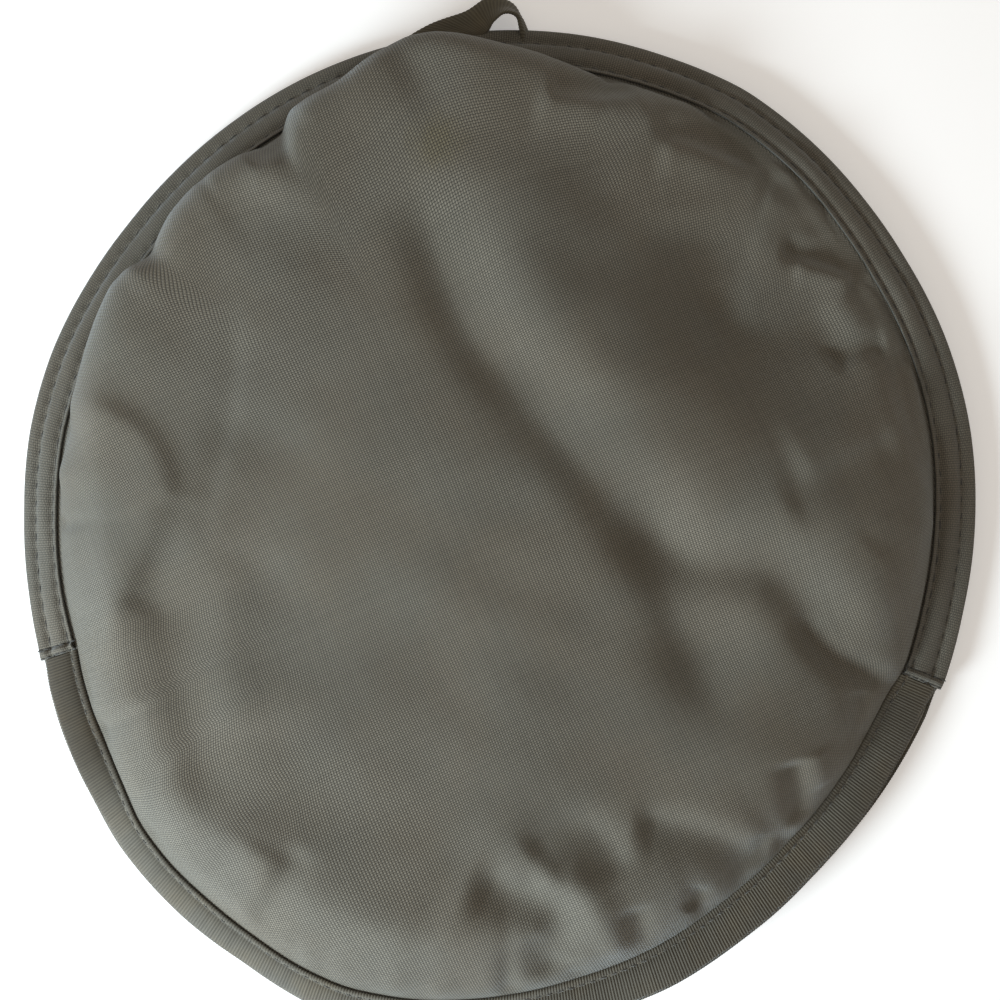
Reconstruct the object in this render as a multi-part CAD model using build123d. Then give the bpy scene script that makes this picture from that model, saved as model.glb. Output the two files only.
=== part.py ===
"""Tortilla warmer: a round padded cloth pouch, open along its front edge, with a hanging loop.

Millimetres, +Z up. The pouch lies on its back panel. The origin is the middle of the back
panel's underside, the mouth faces -Y and the hanging loop is at the far side, near +Y.
Each panel is a cover, a padding and a lining, squeezed thin in the seam round the rim. The
front panel folds up along the line between the two corners of the mouth, so each of its
layers is cut there into a sewn part and a flap that lifts.
"""

import os
from math import acos, asin, atan2, ceil, cos, degrees, exp, radians, sin, tan

from build123d import *

# ---- Driving dimensions, in millimetres and degrees ---------------------------------------

pouch_radius = 150.0  # middle to the outer edge of the bound rim
rim_band_width = 14.0  # binding on the sewn rim, seen from above
back_lip_width = 12.5  # binding on the back panel's lip of the mouth
front_lip_width = 10.5  # binding on the front panel's lip, which lies a little further in
mouth_half_angle = 70.0  # the mouth runs this far each way from straight ahead

cloth_thickness = 0.7  # outer cloth
padding_loft = 6.0  # padding away from the seams
lining_thickness = 0.5
tape_thickness = 0.6  # one layer of binding tape
tape_fold_radius = 0.8  # rounding of the tape where it turns round an edge
fold_radius_limit = 0.4  # but at most this share of the height over the fold

seam_height = 6.0  # where the two panels meet, above the table
back_roll = 24.0  # the back panel rises from the table to the seam over this width
pocket_height = 15.6  # clear height inside, at the middle
pocket_shoulder = 22.8  # radius of the turn from the crown down to the rim, inside
crown_slope = 6.0  # slope of the crown where it meets the shoulder

ruck_height = 6.0  # tallest ridge of the rucked front cloth
ruck_depth = 4.5  # deepest valley between its ridges
ruck_fade = 0.22  # share of a ruck's run over which it rises, at each end
quiet_half_width = 20.0  # ridges die out over this width beside the mouth's fold
ruck_grid_step = 9.7  # spacing of the points that the rucked cloth passes through
bulge_radius = 40.0  # the cloth bulges out over the far rim, as round as this
bulge_top = 29.0  # top of the bulge, above the table
bulge_reach = 148.0  # middle of the pouch to the bulge's edge
bulge_angle = 98.0  # the bulge's middle, round from +X
bulge_clearance = 0.8  # under the bulge, above the stitches on the rim

mouth_ajar = 7.0  # the front lip stands this far open at rest
shut_lip_gap = 0.1  # between the two lips' stitches when the mouth is pressed shut
fold_gap = 0.4  # clearance between the sewn part and the flap
hinge_clearance = 0.2  # the fold's axis lies this far above the cloth

thread_width = 0.8
thread_height = 0.35  # a stitch stands this far above the tape
stitch_length = 4.2
stitch_pitch = 5.5
rim_outer_row = 5.0  # outer row of stitching, in from the rim's edge
rim_inner_row = 12.0  # inner row, in from the rim's edge
lip_row = 2.0  # the lips' row, out from the binding's inner edge
row_end_gap = 2.0  # clear tape between the end of a row and what stops it

tack_thread_count = 5  # threads side by side in a corner tack
tack_setback = 1.5  # a tack starts this far behind the mouth's corner
tack_end_margin = 1.0  # a tack stops this far short of the band's edges

loop_angle = 2.6  # the loop is sewn this far from +Y, towards -X
loop_root_spacing = 31.0  # between the middles of the loop's two sewn ends
loop_reach = 10.6  # how far the tape's middle line stands out from the rim
loop_tape_width = 9.5
loop_tape_thickness = 1.2
loop_seat_gap = 0.4  # between the loop's ends and the rim
loop_hinge_offset = 0.6  # from the loop's ends to the line that it swings about

# ---- Sizes that follow ---------------------------------------------------------------------

fold_y = -pouch_radius * cos(radians(mouth_half_angle))
pinch_radius = pouch_radius - rim_band_width
panel_radius = pouch_radius - tape_thickness
back_lip_radius = pinch_radius + back_lip_width
front_lip_radius = pinch_radius + front_lip_width
flat_radius = pinch_radius - back_roll

# Each panel's four faces, from its outside inwards: how far each lies below the outside at
# the middle of the panel, and how far from the seam in the squeezed rim. The lips' tape and
# stitches take up the room that the lining and padding have elsewhere in the rim.
face_depths = [0.0, cloth_thickness, cloth_thickness + padding_loft]
face_depths += [face_depths[-1] + lining_thickness]
squeezed_layers = tape_thickness + thread_height + shut_lip_gap / 2
face_rises = [squeezed_layers + cloth_thickness, squeezed_layers, lining_thickness, 0.0]

crown_height = 2 * face_depths[-1] + pocket_height
back_flanges = [seam_height - rise for rise in face_rises]
front_flanges = [seam_height + rise for rise in face_rises]
rim_top = front_flanges[0] + tape_thickness
rim_underside = back_flanges[0] - tape_thickness
run_out_radius = 0.94 * pinch_radius  # outside this, the rucked cloth runs down straight

everything = 2 * pouch_radius  # a box this large takes in the whole pouch


# ---- Helpers -------------------------------------------------------------------------------


def dish_arc(depth, flange_z):
    """The back panel's outline, from its middle out: flat, then one arc up to the seam."""
    rise = flange_z - depth
    radius = (back_roll**2 + rise**2) / (2 * rise)
    half_turn = atan2(rise, back_roll)
    bend = (flat_radius + radius * sin(half_turn), depth + radius * (1 - cos(half_turn)))
    return [
        Line((0, depth), (flat_radius, depth)),
        ThreePointArc((flat_radius, depth), bend, (pinch_radius, flange_z)),
    ]


def crown_shape(depth, flange_z):
    """What the front panel's outline is made of: the crown's radius, the height of the middle
    that it turns about, the shoulder's radius, and how far round the shoulder has turned down
    at the seam."""
    top_z = crown_height - depth
    slope = radians(crown_slope)
    shoulder = pocket_shoulder + face_depths[-1] - depth
    excess = tan(slope / 2) * pinch_radius - (top_z - flange_z)
    turn = slope / 2 + acos((1 + excess / shoulder) * cos(slope / 2))
    crown = (pinch_radius - shoulder * (sin(turn) - sin(slope))) / sin(slope)
    return crown, top_z - crown, shoulder, turn


def shoulder_middle(crown, crown_z, shoulder):
    """The point in the outline's plane that the shoulder turns about."""
    slope = radians(crown_slope)
    return (crown - shoulder) * sin(slope), crown_z + (crown - shoulder) * cos(slope)


def crown_arcs(depth, flange_z):
    """The front panel's outline, from its middle out: a broad crown that turns down over a
    tighter shoulder to the seam."""
    crown, crown_z, shoulder, turn = crown_shape(depth, flange_z)
    shoulder_x, shoulder_z = shoulder_middle(crown, crown_z, shoulder)
    slope = radians(crown_slope)
    mid_crown = (crown * sin(slope / 2), crown_z + crown * cos(slope / 2))
    join = (crown * sin(slope), crown_z + crown * cos(slope))
    mid_turn = (slope + turn) / 2
    mid_shoulder = (shoulder_x + shoulder * sin(mid_turn), shoulder_z + shoulder * cos(mid_turn))
    return [
        ThreePointArc((0, crown_z + crown), mid_crown, join),
        ThreePointArc(join, mid_shoulder, (pinch_radius, flange_z)),
    ]


def height_of(radius, depth, flange_z):
    """How high that outline is, this far from the middle. Near the seam it runs on straight."""
    crown, crown_z, shoulder, _ = crown_shape(depth, flange_z)
    if radius < crown * sin(radians(crown_slope)):
        return crown_z + (crown**2 - radius**2) ** 0.5
    shoulder_x, shoulder_z = shoulder_middle(crown, crown_z, shoulder)
    turned = asin((min(radius, run_out_radius) - shoulder_x) / shoulder)
    past = max(radius - run_out_radius, 0)
    return shoulder_z + shoulder * cos(turned) - past * tan(turned)


def under_outline(outline):
    """All that lies under an outline and its flange, down to the seam's height."""
    end = outline[-1] @ 1
    corners = [(panel_radius, end.Y), (panel_radius, seam_height), (0, seam_height)]
    loop = [*outline, Polyline(end, *corners, outline[0] @ 0)]
    return revolve(make_face(Plane.XZ * Curve(loop)), Axis.Z)


def sheet_between(one, other):
    """The round sheet between two outlines, each run out flat through the rim, turned about
    the pouch's middle."""
    one_end, other_end = one[-1] @ 1, other[-1] @ 1
    one_edge = (panel_radius, one_end.Y)
    other_edge = (panel_radius, other_end.Y)
    loop = [*one, Line(one_end, one_edge), Line(one_edge, other_edge)]
    loop += [Line(other_edge, other_end), *other, Line(other[0] @ 0, one[0] @ 0)]
    return revolve(make_face(Plane.XZ * Curve(loop)), Axis.Z)


def ahead_of(y):
    """All the space on the mouth's side of y."""
    return Pos(0, y - everything / 2, 0) * Box(everything, everything, everything)


def behind(y):
    """All the space on the loop's side of y."""
    return Pos(0, y + everything / 2, 0) * Box(everything, everything, everything)


def past_mouth(radius):
    """What is trimmed off a sheet along the mouth: all of it beyond this radius."""
    ring = Cylinder(everything / 2, everything) - Cylinder(radius, everything)
    return ring & ahead_of(fold_y)


def tape_ring(inner, outer, low, high):
    """Tape folded round cloth that lies between two heights: a ring with a C section."""
    height = high - low + 2 * tape_thickness
    middle = (low + high) / 2
    tape = Pos((inner + outer) / 2, middle) * Rectangle(outer - inner, height)
    fold = min(tape_fold_radius, fold_radius_limit * height)
    tape = fillet(tape.vertices().group_by(Axis.X)[-1], fold)
    cloth = Pos((inner + outer) / 2 - tape_thickness, middle)
    cloth *= Rectangle(outer - inner, high - low)
    return revolve(Plane.XZ * (tape - cloth), Axis.Z)


def thread(length, width, radius, face, angle):
    """A thread lying along an arc or across it, on one face of the tape. A face is its
    height, and +1 if it looks up or -1 if it looks down."""
    height, way = face
    middle = Pos(radius, 0, height + way * thread_height / 2)
    return Rot(0, 0, angle) * middle * Box(width, length, thread_height)


def stitch_row(radius, faces, first, last):
    """Stitches along an arc between two angles, spread evenly, on each of the tape's faces."""
    count = ceil(radians(last - first) * radius / stitch_pitch)
    step = (last - first) / count
    angles = [first + step * (number + 0.5) for number in range(count)]
    return [
        thread(stitch_length, thread_width, radius, face, angle)
        for face in faces
        for angle in angles
    ]


def degrees_ahead(y, radius):
    """How far round from +X, towards the mouth, a circle crosses y."""
    return degrees(asin(-y / radius))


# ---- Back panel ----------------------------------------------------------------------------

back_outlines = [dish_arc(*face) for face in zip(face_depths, back_flanges)]


def back_sheet(number, trim_radius):
    return sheet_between(*back_outlines[number : number + 2]) - past_mouth(trim_radius)


back_cover = back_sheet(0, back_lip_radius - tape_thickness)
back_padding = back_sheet(1, pinch_radius)
back_lining = back_sheet(2, pinch_radius)

# ---- The rucked front cloth ----------------------------------------------------------------

# Each ruck is a run of points in the plan, as shares of the seam's radius, then its height as
# a share of the tallest ridge, or below zero as a share of the deepest valley, and its half
# width as a share of the seam's radius.
rucks = [
    # the long valley, from the far side to the right of the mouth
    ([(-0.19, 0.82), (-0.12, 0.51), (-0.04, 0.35), (0.2, 0.06), (0.38, -0.19), (0.47, -0.46)], -1, 0.08),
    # the long ridge beside it, which turns towards the mouth's right corner
    ([(-0.09, 0.97), (0.04, 0.49), (0.28, 0.14), (0.58, -0.06), (0.74, -0.19), (0.90, -0.34)], 1, 0.13),
    # the valley under the ridge's last run
    ([(0.44, -0.13), (0.59, -0.15), (0.69, -0.24), (0.77, -0.33), (0.89, -0.40)], -0.9, 0.07),
    # the wide hollow on the right
    ([(0.38, 0.54), (0.51, 0.49), (0.68, 0.43), (0.85, 0.37)], -1, 0.15),
    # the facet on the left
    ([(-0.95, -0.25), (-0.83, -0.10), (-0.76, 0.06), (-0.72, 0.24)], -0.6, 0.08),
    # the valleys and the ridge near the lip
    ([(0.06, -0.82), (0.25, -0.69), (0.38, -0.71), (0.59, -0.80)], -0.9, 0.07),
    ([(-0.10, -0.83), (0.04, -0.87), (0.12, -1.0)], -0.8, 0.06),
    ([(-0.04, -0.76), (0.08, -0.78), (0.18, -0.88), (0.23, -1.0)], 0.6, 0.06),
]


def ease(share):
    """0 to 1 without a kink at either end."""
    share = min(max(share, 0), 1)
    return share * share * (3 - 2 * share)


def nearest_on(run, spot):
    """How far a spot lies from a run of points, and how far along the run that is."""
    lengths = [(end - start).length for start, end in zip(run, run[1:])]
    found = []
    for number, (start, end) in enumerate(zip(run, run[1:])):
        share = (spot - start).dot(end - start) / lengths[number] ** 2
        share = min(max(share, 0), 1)
        along = sum(lengths[:number]) + share * lengths[number]
        found.append(((spot - start - (end - start) * share).length, along / sum(lengths)))
    return min(found)


def ruck_lift(spot):
    """How far the rucks lift the cloth over a spot in the plan. They die out towards the seam
    as the padding does, and beside the mouth's fold no ridge stands above the fold's axis."""
    lift = 0
    for points, height, width in rucks:
        run = [Vector(*point) * pinch_radius for point in points]
        away, along = nearest_on(run, spot)
        amount = height * (ruck_height if height > 0 else ruck_depth)
        amount *= ease(along / ruck_fade) * ease((1 - along) / ruck_fade)
        lift += amount * exp(-((away / (width * pinch_radius)) ** 2))
    outside, inside = [height_of(spot.length, face_depths[n], front_flanges[n]) for n in (0, 2)]
    lift *= min((outside - inside) / face_depths[2], 1) ** 2
    if lift < 0:
        return max(lift, -ruck_depth)
    return lift * ease(abs(spot.Y - fold_y) / quiet_half_width)


def rucked_point(x, y):
    spot = Vector(x, y)
    return Vector(x, y, height_of(spot.length, 0, front_flanges[0]) + ruck_lift(spot))


ruck_grid_count = ceil(2 * pouch_radius / ruck_grid_step) + 1
ruck_grid = [
    pouch_radius * (2 * number / (ruck_grid_count - 1) - 1) for number in range(ruck_grid_count)
]
rucked_face = Face.make_surface_from_array_of_points(
    [[rucked_point(x, y) for x in ruck_grid] for y in ruck_grid],
    tol=0.02,
    smoothing=(0.01, 0.01, 0.01),
    max_deg=8,
)


def bulge(depth):
    """The bulge over the far rim, drawn in by its depth: a ball, cut flat where it hangs over
    the rim's band."""
    underside = rim_top + thread_height + bulge_clearance
    middle_z = bulge_top - bulge_radius
    spread = (bulge_radius**2 - (underside - middle_z) ** 2) ** 0.5
    ball = Pos(bulge_reach - spread, 0, middle_z) * Sphere(bulge_radius - depth)
    above = Pos(0, 0, underside + depth + everything / 2) * Box(everything, everything, everything)
    return Rot(0, 0, bulge_angle) * (ball & above)


def under_rucks(depth, flange_z):
    """All that lies under the rucked cloth, at a depth in it, down to the seam's height. The
    rucked surface ends on a wall that rises from the seam at the shoulder's slope there."""
    turn = crown_shape(depth, flange_z)[-1]
    wall_z = crown_height + 2 * ruck_height
    wall_radius = pinch_radius - (wall_z - flange_z) / tan(turn)
    wall = [(0, seam_height), (pinch_radius, seam_height), (pinch_radius, flange_z)]
    wall += [(wall_radius, wall_z), (0, wall_z)]
    inside_wall = revolve(Plane.XZ * make_face(Polyline(*wall, close=True)), Axis.Z)
    below = extrude(Pos(0, 0, -depth) * rucked_face, everything, dir=(0, 0, -1))
    flange = Cylinder(panel_radius, flange_z - seam_height)
    flange = Pos(0, 0, (flange_z + seam_height) / 2) * flange
    return flange + (inside_wall & below) + bulge(depth)


# ---- Front panel ---------------------------------------------------------------------------

front_outlines = [crown_arcs(*face) for face in zip(face_depths, front_flanges)]
cover_and_below, padding_and_below = [
    under_rucks(depth, flange_z) for depth, flange_z in zip(face_depths[:2], front_flanges)
]
front_sheets = [
    cover_and_below - padding_and_below,
    padding_and_below - under_outline(front_outlines[2]),
    sheet_between(*front_outlines[2:4]),
]

# The flap turns about a line along X, just above the crown of the cloth.
cover_crown_radius = front_outlines[0][0].radius
fold_drop = cover_crown_radius - (cover_crown_radius**2 - fold_y**2) ** 0.5
fold_z = crown_height - fold_drop + hinge_clearance
fold_axis = Axis((0, fold_y, fold_z), (1, 0, 0))


def on_flap(part):
    """A piece of the flap, made with the mouth shut, turned to where it stands at rest."""
    return part.rotate(fold_axis, -mouth_ajar)


def flap_sheet(number, trim_radius):
    shut = (front_sheets[number] & ahead_of(fold_y - fold_gap)) - past_mouth(trim_radius)
    return on_flap(shut)


front_cover, front_padding, front_lining = [sheet & behind(fold_y) for sheet in front_sheets]
flap_cover = flap_sheet(0, front_lip_radius - tape_thickness)
flap_padding = flap_sheet(1, pinch_radius)
flap_lining = flap_sheet(2, pinch_radius)

# ---- Bindings ------------------------------------------------------------------------------

rim_ring = tape_ring(pinch_radius, pouch_radius, back_flanges[0], front_flanges[0])
rim_binding = rim_ring & behind(fold_y)

back_lip_ring = tape_ring(pinch_radius, back_lip_radius, back_flanges[0], back_flanges[1])
back_lip_binding = back_lip_ring & ahead_of(fold_y)

front_lip_ring = tape_ring(pinch_radius, front_lip_radius, front_flanges[1], front_flanges[0])
front_lip_binding = on_flap(front_lip_ring & ahead_of(fold_y - fold_gap))

# ---- Corner tacks and stitching ------------------------------------------------------------

rim_faces = [(rim_top, 1), (rim_underside, -1)]
band_middle = pouch_radius - rim_band_width / 2
tack_length = rim_band_width - 2 * tack_end_margin
tack_angle = degrees_ahead(fold_y + tack_setback, pouch_radius - tack_end_margin)
tack_step = degrees(thread_width / (band_middle - tack_length / 2))
tack_angles = [tack_angle - tack_step * number for number in range(tack_thread_count)]


def corner_tack(side):
    """Threads side by side across the rim's band, above and below: side is 1 for +X."""
    turns = [-angle if side > 0 else 180 + angle for angle in tack_angles]
    return [
        thread(thread_width, tack_length, band_middle, face, turn)
        for face in rim_faces
        for turn in turns
    ]


def rim_row(inset):
    radius = pouch_radius - inset
    start = tack_angles[-1] - degrees((thread_width / 2 + row_end_gap) / radius)
    return stitch_row(radius, rim_faces, -start, 180 + start)


def lip_stitching(faces):
    radius = pinch_radius + lip_row
    start = degrees_ahead(fold_y, radius) + degrees(row_end_gap / radius)
    return stitch_row(radius, faces, 180 + start, 360 - start)


right_corner_tack = corner_tack(1)
left_corner_tack = corner_tack(-1)
rim_outer_stitching = rim_row(rim_outer_row)
rim_inner_stitching = rim_row(rim_inner_row)
back_lip_faces = [(back_flanges[1] + tape_thickness, 1), (rim_underside, -1)]
front_lip_faces = [(rim_top, 1), (front_flanges[1] - tape_thickness, -1)]
back_lip_stitching = lip_stitching(back_lip_faces)
front_lip_stitching = [on_flap(stitch) for stitch in lip_stitching(front_lip_faces)]

# ---- Hanging loop --------------------------------------------------------------------------

# Stations along the tape, from the left sewn end to the right one. Each gives its middle as
# a share of the root spacing along the rim, and as shares of the reach outwards and upwards,
# then the way that the tape's width points, and its width as a share of the tape's. The tape
# leaves the seam at a slant, lies face up as far as the top, comes back down on its edge and
# is bunched where it goes into the seam again.
loop_stations = [
    ((-0.50, 0.00, 0.00), (1.00, 0.00, 0.00), 2.10),
    ((-0.26, 0.29, 0.02), (0.97, -0.25, 0.00), 1.52),
    ((-0.02, 0.62, 0.06), (0.70, -0.71, 0.05), 1.07),
    ((0.15, 0.98, 0.09), (0.12, -0.97, 0.20), 0.98),
    ((0.32, 0.96, 0.11), (-0.35, -0.62, 0.70), 0.95),
    ((0.43, 0.66, 0.09), (-0.25, -0.15, 0.95), 0.85),
    ((0.47, 0.36, 0.06), (-0.45, 0.00, 0.89), 0.62),
    ((0.49, 0.15, 0.02), (-0.80, 0.00, 0.60), 0.46),
    ((0.50, 0.00, 0.00), (-1.00, 0.00, 0.00), 0.42),
]
last_station = len(loop_stations) - 1


def loop_point(number):
    along, out, up = loop_stations[number][0]
    root_depth = loop_hinge_offset if number in (0, last_station) else 0.0
    return Vector(along * loop_root_spacing, out * loop_reach - root_depth, up * loop_reach)


def loop_section(number):
    """The tape's section at one station, across the run of the tape there. The two sewn ends
    reach back from the hinge line and are square to it."""
    _, width_way, width = loop_stations[number]
    across = Vector(*width_way).normalized()
    run = loop_point(min(number + 1, last_station)) - loop_point(max(number - 1, 0))
    if number in (0, last_station):
        run = Vector(0, run.Y, 0)
    run -= across * run.dot(across)
    plane = Plane(origin=loop_point(number), x_dir=across, z_dir=run)
    return plane * Rectangle(width * loop_tape_width, loop_tape_thickness)


loop_line_radius = pouch_radius + loop_seat_gap + loop_hinge_offset
loop_place = Rot(0, 0, loop_angle) * Pos(0, loop_line_radius, seam_height)
loop_sections = [loop_section(number) for number in range(last_station + 1)]
hanging_loop = loop_place * loft(loop_sections, ruled=True)

# ---- Write each piece ----------------------------------------------------------------------

pieces = {
    "back_cover": back_cover,
    "back_padding": back_padding,
    "back_lining": back_lining,
    "back_lip_binding": back_lip_binding,
    "back_lip_stitching": Compound(children=back_lip_stitching),
    "front_cover": front_cover,
    "front_padding": front_padding,
    "front_lining": front_lining,
    "rim_binding": rim_binding,
    "rim_outer_stitching": Compound(children=rim_outer_stitching),
    "rim_inner_stitching": Compound(children=rim_inner_stitching),
    "right_corner_tack": Compound(children=right_corner_tack),
    "left_corner_tack": Compound(children=left_corner_tack),
    "flap_cover": flap_cover,
    "flap_padding": flap_padding,
    "flap_lining": flap_lining,
    "front_lip_binding": front_lip_binding,
    "front_lip_stitching": Compound(children=front_lip_stitching),
    "hanging_loop": hanging_loop,
}

os.makedirs("parts", exist_ok=True)
for name, piece in pieces.items():
    export_step(piece, f"parts/{name}.step")

loop_middle = loop_place.position
print(f"mouth fold: y {fold_y:.3f}, z {fold_z:.3f}, along X")
print(f"loop line: {loop_middle}, turned {loop_angle} degrees about Z")
print(f"box: {Compound(children=list(pieces.values())).bounding_box()}")
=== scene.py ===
# %% [markdown]
# # A tortilla warmer
# A tortilla warmer is a round padded pouch. Two padded panels are bound together round most of
# the rim, and the near edge stays open as a mouth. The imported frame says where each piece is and
# what moves. This lesson makes the cloth around it: every piece is worked out in millimetres and
# becomes a mesh in metres at the end.

# %% Load the frame
import math

import bpy
import numpy as np
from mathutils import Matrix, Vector


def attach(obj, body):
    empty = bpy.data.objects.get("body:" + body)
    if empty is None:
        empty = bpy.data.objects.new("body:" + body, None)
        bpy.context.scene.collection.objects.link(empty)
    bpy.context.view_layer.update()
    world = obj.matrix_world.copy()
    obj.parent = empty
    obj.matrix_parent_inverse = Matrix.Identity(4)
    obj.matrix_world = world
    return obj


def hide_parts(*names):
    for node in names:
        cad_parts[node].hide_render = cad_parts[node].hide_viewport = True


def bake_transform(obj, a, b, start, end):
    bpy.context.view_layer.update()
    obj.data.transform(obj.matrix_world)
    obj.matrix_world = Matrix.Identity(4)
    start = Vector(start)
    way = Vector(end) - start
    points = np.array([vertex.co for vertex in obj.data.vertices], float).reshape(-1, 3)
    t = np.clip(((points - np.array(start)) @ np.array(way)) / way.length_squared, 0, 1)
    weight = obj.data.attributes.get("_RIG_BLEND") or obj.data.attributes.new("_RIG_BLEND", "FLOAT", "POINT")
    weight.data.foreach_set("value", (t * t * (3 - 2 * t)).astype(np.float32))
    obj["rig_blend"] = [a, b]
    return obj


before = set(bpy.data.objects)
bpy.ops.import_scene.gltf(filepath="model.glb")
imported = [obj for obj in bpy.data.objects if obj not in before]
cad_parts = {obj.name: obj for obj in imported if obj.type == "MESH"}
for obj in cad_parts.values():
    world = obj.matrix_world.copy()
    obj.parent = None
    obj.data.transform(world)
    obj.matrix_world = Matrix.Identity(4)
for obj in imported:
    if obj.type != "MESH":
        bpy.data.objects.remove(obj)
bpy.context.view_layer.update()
MM = 0.001

# %% Helpers for wiring nodes
def feed(tree, socket, value):
    """Gives an input socket a plain value, or a link where the value is another socket."""
    if isinstance(value, bpy.types.NodeSocket):
        tree.links.new(value, socket)
    else:
        socket.default_value = value


def add_node(tree, kind, inputs=None, **settings):
    """A new node. Its settings come before its inputs, because they can change which inputs it has."""
    node = tree.nodes.new(kind)
    for name, value in settings.items():
        setattr(node, name, value)
    for key, value in (inputs or {}).items():
        feed(tree, node.inputs[key], value)
    return node


def calc(tree, operation, *values):
    """The result of a Math node; each value is a number or a socket."""
    return add_node(tree, "ShaderNodeMath", dict(enumerate(values)), operation=operation).outputs[0]


def vector_calc(tree, operation, inputs, result=0):
    return add_node(tree, "ShaderNodeVectorMath", inputs, operation=operation).outputs[result]


# %% [markdown]
# ## Camera, floor and light
# The pouch lies on a table and the camera looks nearly straight down on it from close by, so its
# raised parts lean outwards in the view. One broad soft lamp stands low on the left, in front,
# which lets each fold show a light and a dark side. The rest of the light is even. The world's
# light falls on the cloth as it is, but rays from the camera, from gloss and through clear things
# meet plain white instead, so the table's surroundings are white and light nothing.

# %% Camera
CAMERA_PLACE = Vector((0.0, -0.015, 0.420))
CAMERA_AIM = Vector((0.0, 0.0038, 0.006))
VIEW_WIDTH = 0.3164

camera_data = bpy.data.cameras.new("camera")
camera = bpy.data.objects.new("camera", camera_data)
bpy.context.scene.collection.objects.link(camera)
camera.location = CAMERA_PLACE
camera.rotation_mode = "QUATERNION"
camera.rotation_quaternion = (CAMERA_AIM - CAMERA_PLACE).to_track_quat("-Z", "Y")
camera_data.lens = camera_data.sensor_width * (CAMERA_AIM - CAMERA_PLACE).length / VIEW_WIDTH
bpy.context.scene.camera = camera
print("lens in mm:", round(camera_data.lens, 1))

# %% World
AMBIENT = (0.40, 0.35, 0.295, 1)
WHITE = (1, 1, 1, 1)

bpy.context.scene.view_settings.view_transform = "Standard"
world = bpy.data.worlds.new("studio")
bpy.context.scene.world = world
world.use_nodes = True
world_tree = world.node_tree
sky = world_tree.nodes["Background"]
sky.inputs["Color"].default_value = AMBIENT
sky.inputs["Strength"].default_value = 1.0
rays = add_node(world_tree, "ShaderNodeLightPath").outputs
meets_white = calc(world_tree, "MAXIMUM", rays["Is Camera Ray"], rays["Is Glossy Ray"])
meets_white = calc(world_tree, "MAXIMUM", meets_white, rays["Is Transmission Ray"])
white_sky = add_node(world_tree, "ShaderNodeBackground", {"Color": WHITE, "Strength": 1.0})
skies = {0: meets_white, 1: sky.outputs[0], 2: white_sky.outputs[0]}
either_sky = add_node(world_tree, "ShaderNodeMixShader", skies)
world_tree.links.new(either_sky.outputs[0], world_tree.nodes["World Output"].inputs["Surface"])
print("world light:", AMBIENT[:3])

# %% Floor
FLOOR_HALF_WIDTH = 2.0
FLOOR_LEVEL = -0.0004
FLOOR_GREY = (0.93, 0.93, 0.93, 1)
FLOOR_ROUGHNESS = 0.9
FLOOR_GLOW = 0.30  # seen by the camera alone, so that the table is white past the shadow

floor_mesh = bpy.data.meshes.new("floor")
floor_corners = [
    (x * FLOOR_HALF_WIDTH, y * FLOOR_HALF_WIDTH, 0) for x, y in ((-1, -1), (1, -1), (1, 1), (-1, 1))
]
floor_mesh.from_pydata(floor_corners, [], [(0, 1, 2, 3)])
floor = bpy.data.objects.new("floor", floor_mesh)
floor.location.z = FLOOR_LEVEL
bpy.context.scene.collection.objects.link(floor)
floor_paint = bpy.data.materials.new("floor_paint")
floor_paint.use_nodes = True
floor_tree = floor_paint.node_tree
floor_seen = add_node(floor_tree, "ShaderNodeLightPath").outputs["Is Camera Ray"]
for name, value in (
    ("Base Color", FLOOR_GREY),
    ("Roughness", FLOOR_ROUGHNESS),
    ("Emission Color", WHITE),
    ("Emission Strength", calc(floor_tree, "MULTIPLY", floor_seen, FLOOR_GLOW)),
):
    feed(floor_tree, floor_tree.nodes["Principled BSDF"].inputs[name], value)
floor_mesh.materials.append(floor_paint)
print("floor, width in metres:", 2 * FLOOR_HALF_WIDTH)

# %% Lamp
WINDOW_PLACE = Vector((-0.55, -0.455, 0.36))
WINDOW_SIZE = 0.32
WINDOW_POWER = 10.0
WINDOW_COLOUR = (0.81, 0.925, 1.0)

window = bpy.data.lights.new("window", "AREA")
window.shape = "DISK"
window.size = WINDOW_SIZE
window.energy = WINDOW_POWER
window.color = WINDOW_COLOUR
window_object = bpy.data.objects.new("window", window)
window_object.location = WINDOW_PLACE
window_object.rotation_mode = "QUATERNION"
window_object.rotation_quaternion = (-WINDOW_PLACE).to_track_quat("-Z", "Y")
bpy.context.scene.collection.objects.link(window_object)

# %% [markdown]
# ## Numbers that shape the pouch
# All lengths are millimetres. The seam is the ring where the panels are pinched together; the
# binding reaches from there out to the rim. Angles run anticlockwise from the right-hand side.
# The mouth is the stretch between its two corners, across the near side.

# %% Sizes of the pouch
SEAM_RADIUS = 136.0
SEAM_HEIGHT = 6.0
BAND_WIDTH = 14.0
LIP_WIDTH = 13.2
BACK_LIP_WIDTH = 12.5
TAPE = 0.6
RIGHT_CORNER = -22.0
LEFT_CORNER = 198.0
FOLD_LINE = -51.3
MOUTH_AJAR = math.tan(math.radians(7))
LIFT_EASE = 7.0
BACK_MOUTH_SOFT = 4.0  # degrees over which the back panel's seam leaves the sewn rim's
DEPTHS = [0.0, 0.7, 6.7, 7.2]  # how deep a face of the front panel lies under its outside
RISES = [1.7, 1.0, 0.5, 0.0]  # and how far above the seam's line such a face is pinched
TOP = 30.0
CROWN_SLOPE = math.radians(6)
SHOULDER = 30.0


def bell(angle, centre, width):
    """A smooth swelling round the rim; angles in degrees, and it wraps."""
    away = (np.asarray(angle, float) - centre + 180) % 360 - 180
    return np.exp(-((away / width) ** 2))


def smooth(x, low, high):
    """0 below low and 1 above high, with an easy curve between."""
    x = np.clip((np.asarray(x, float) - low) / (high - low), 0, 1)
    return x * x * (3 - 2 * x)


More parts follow.
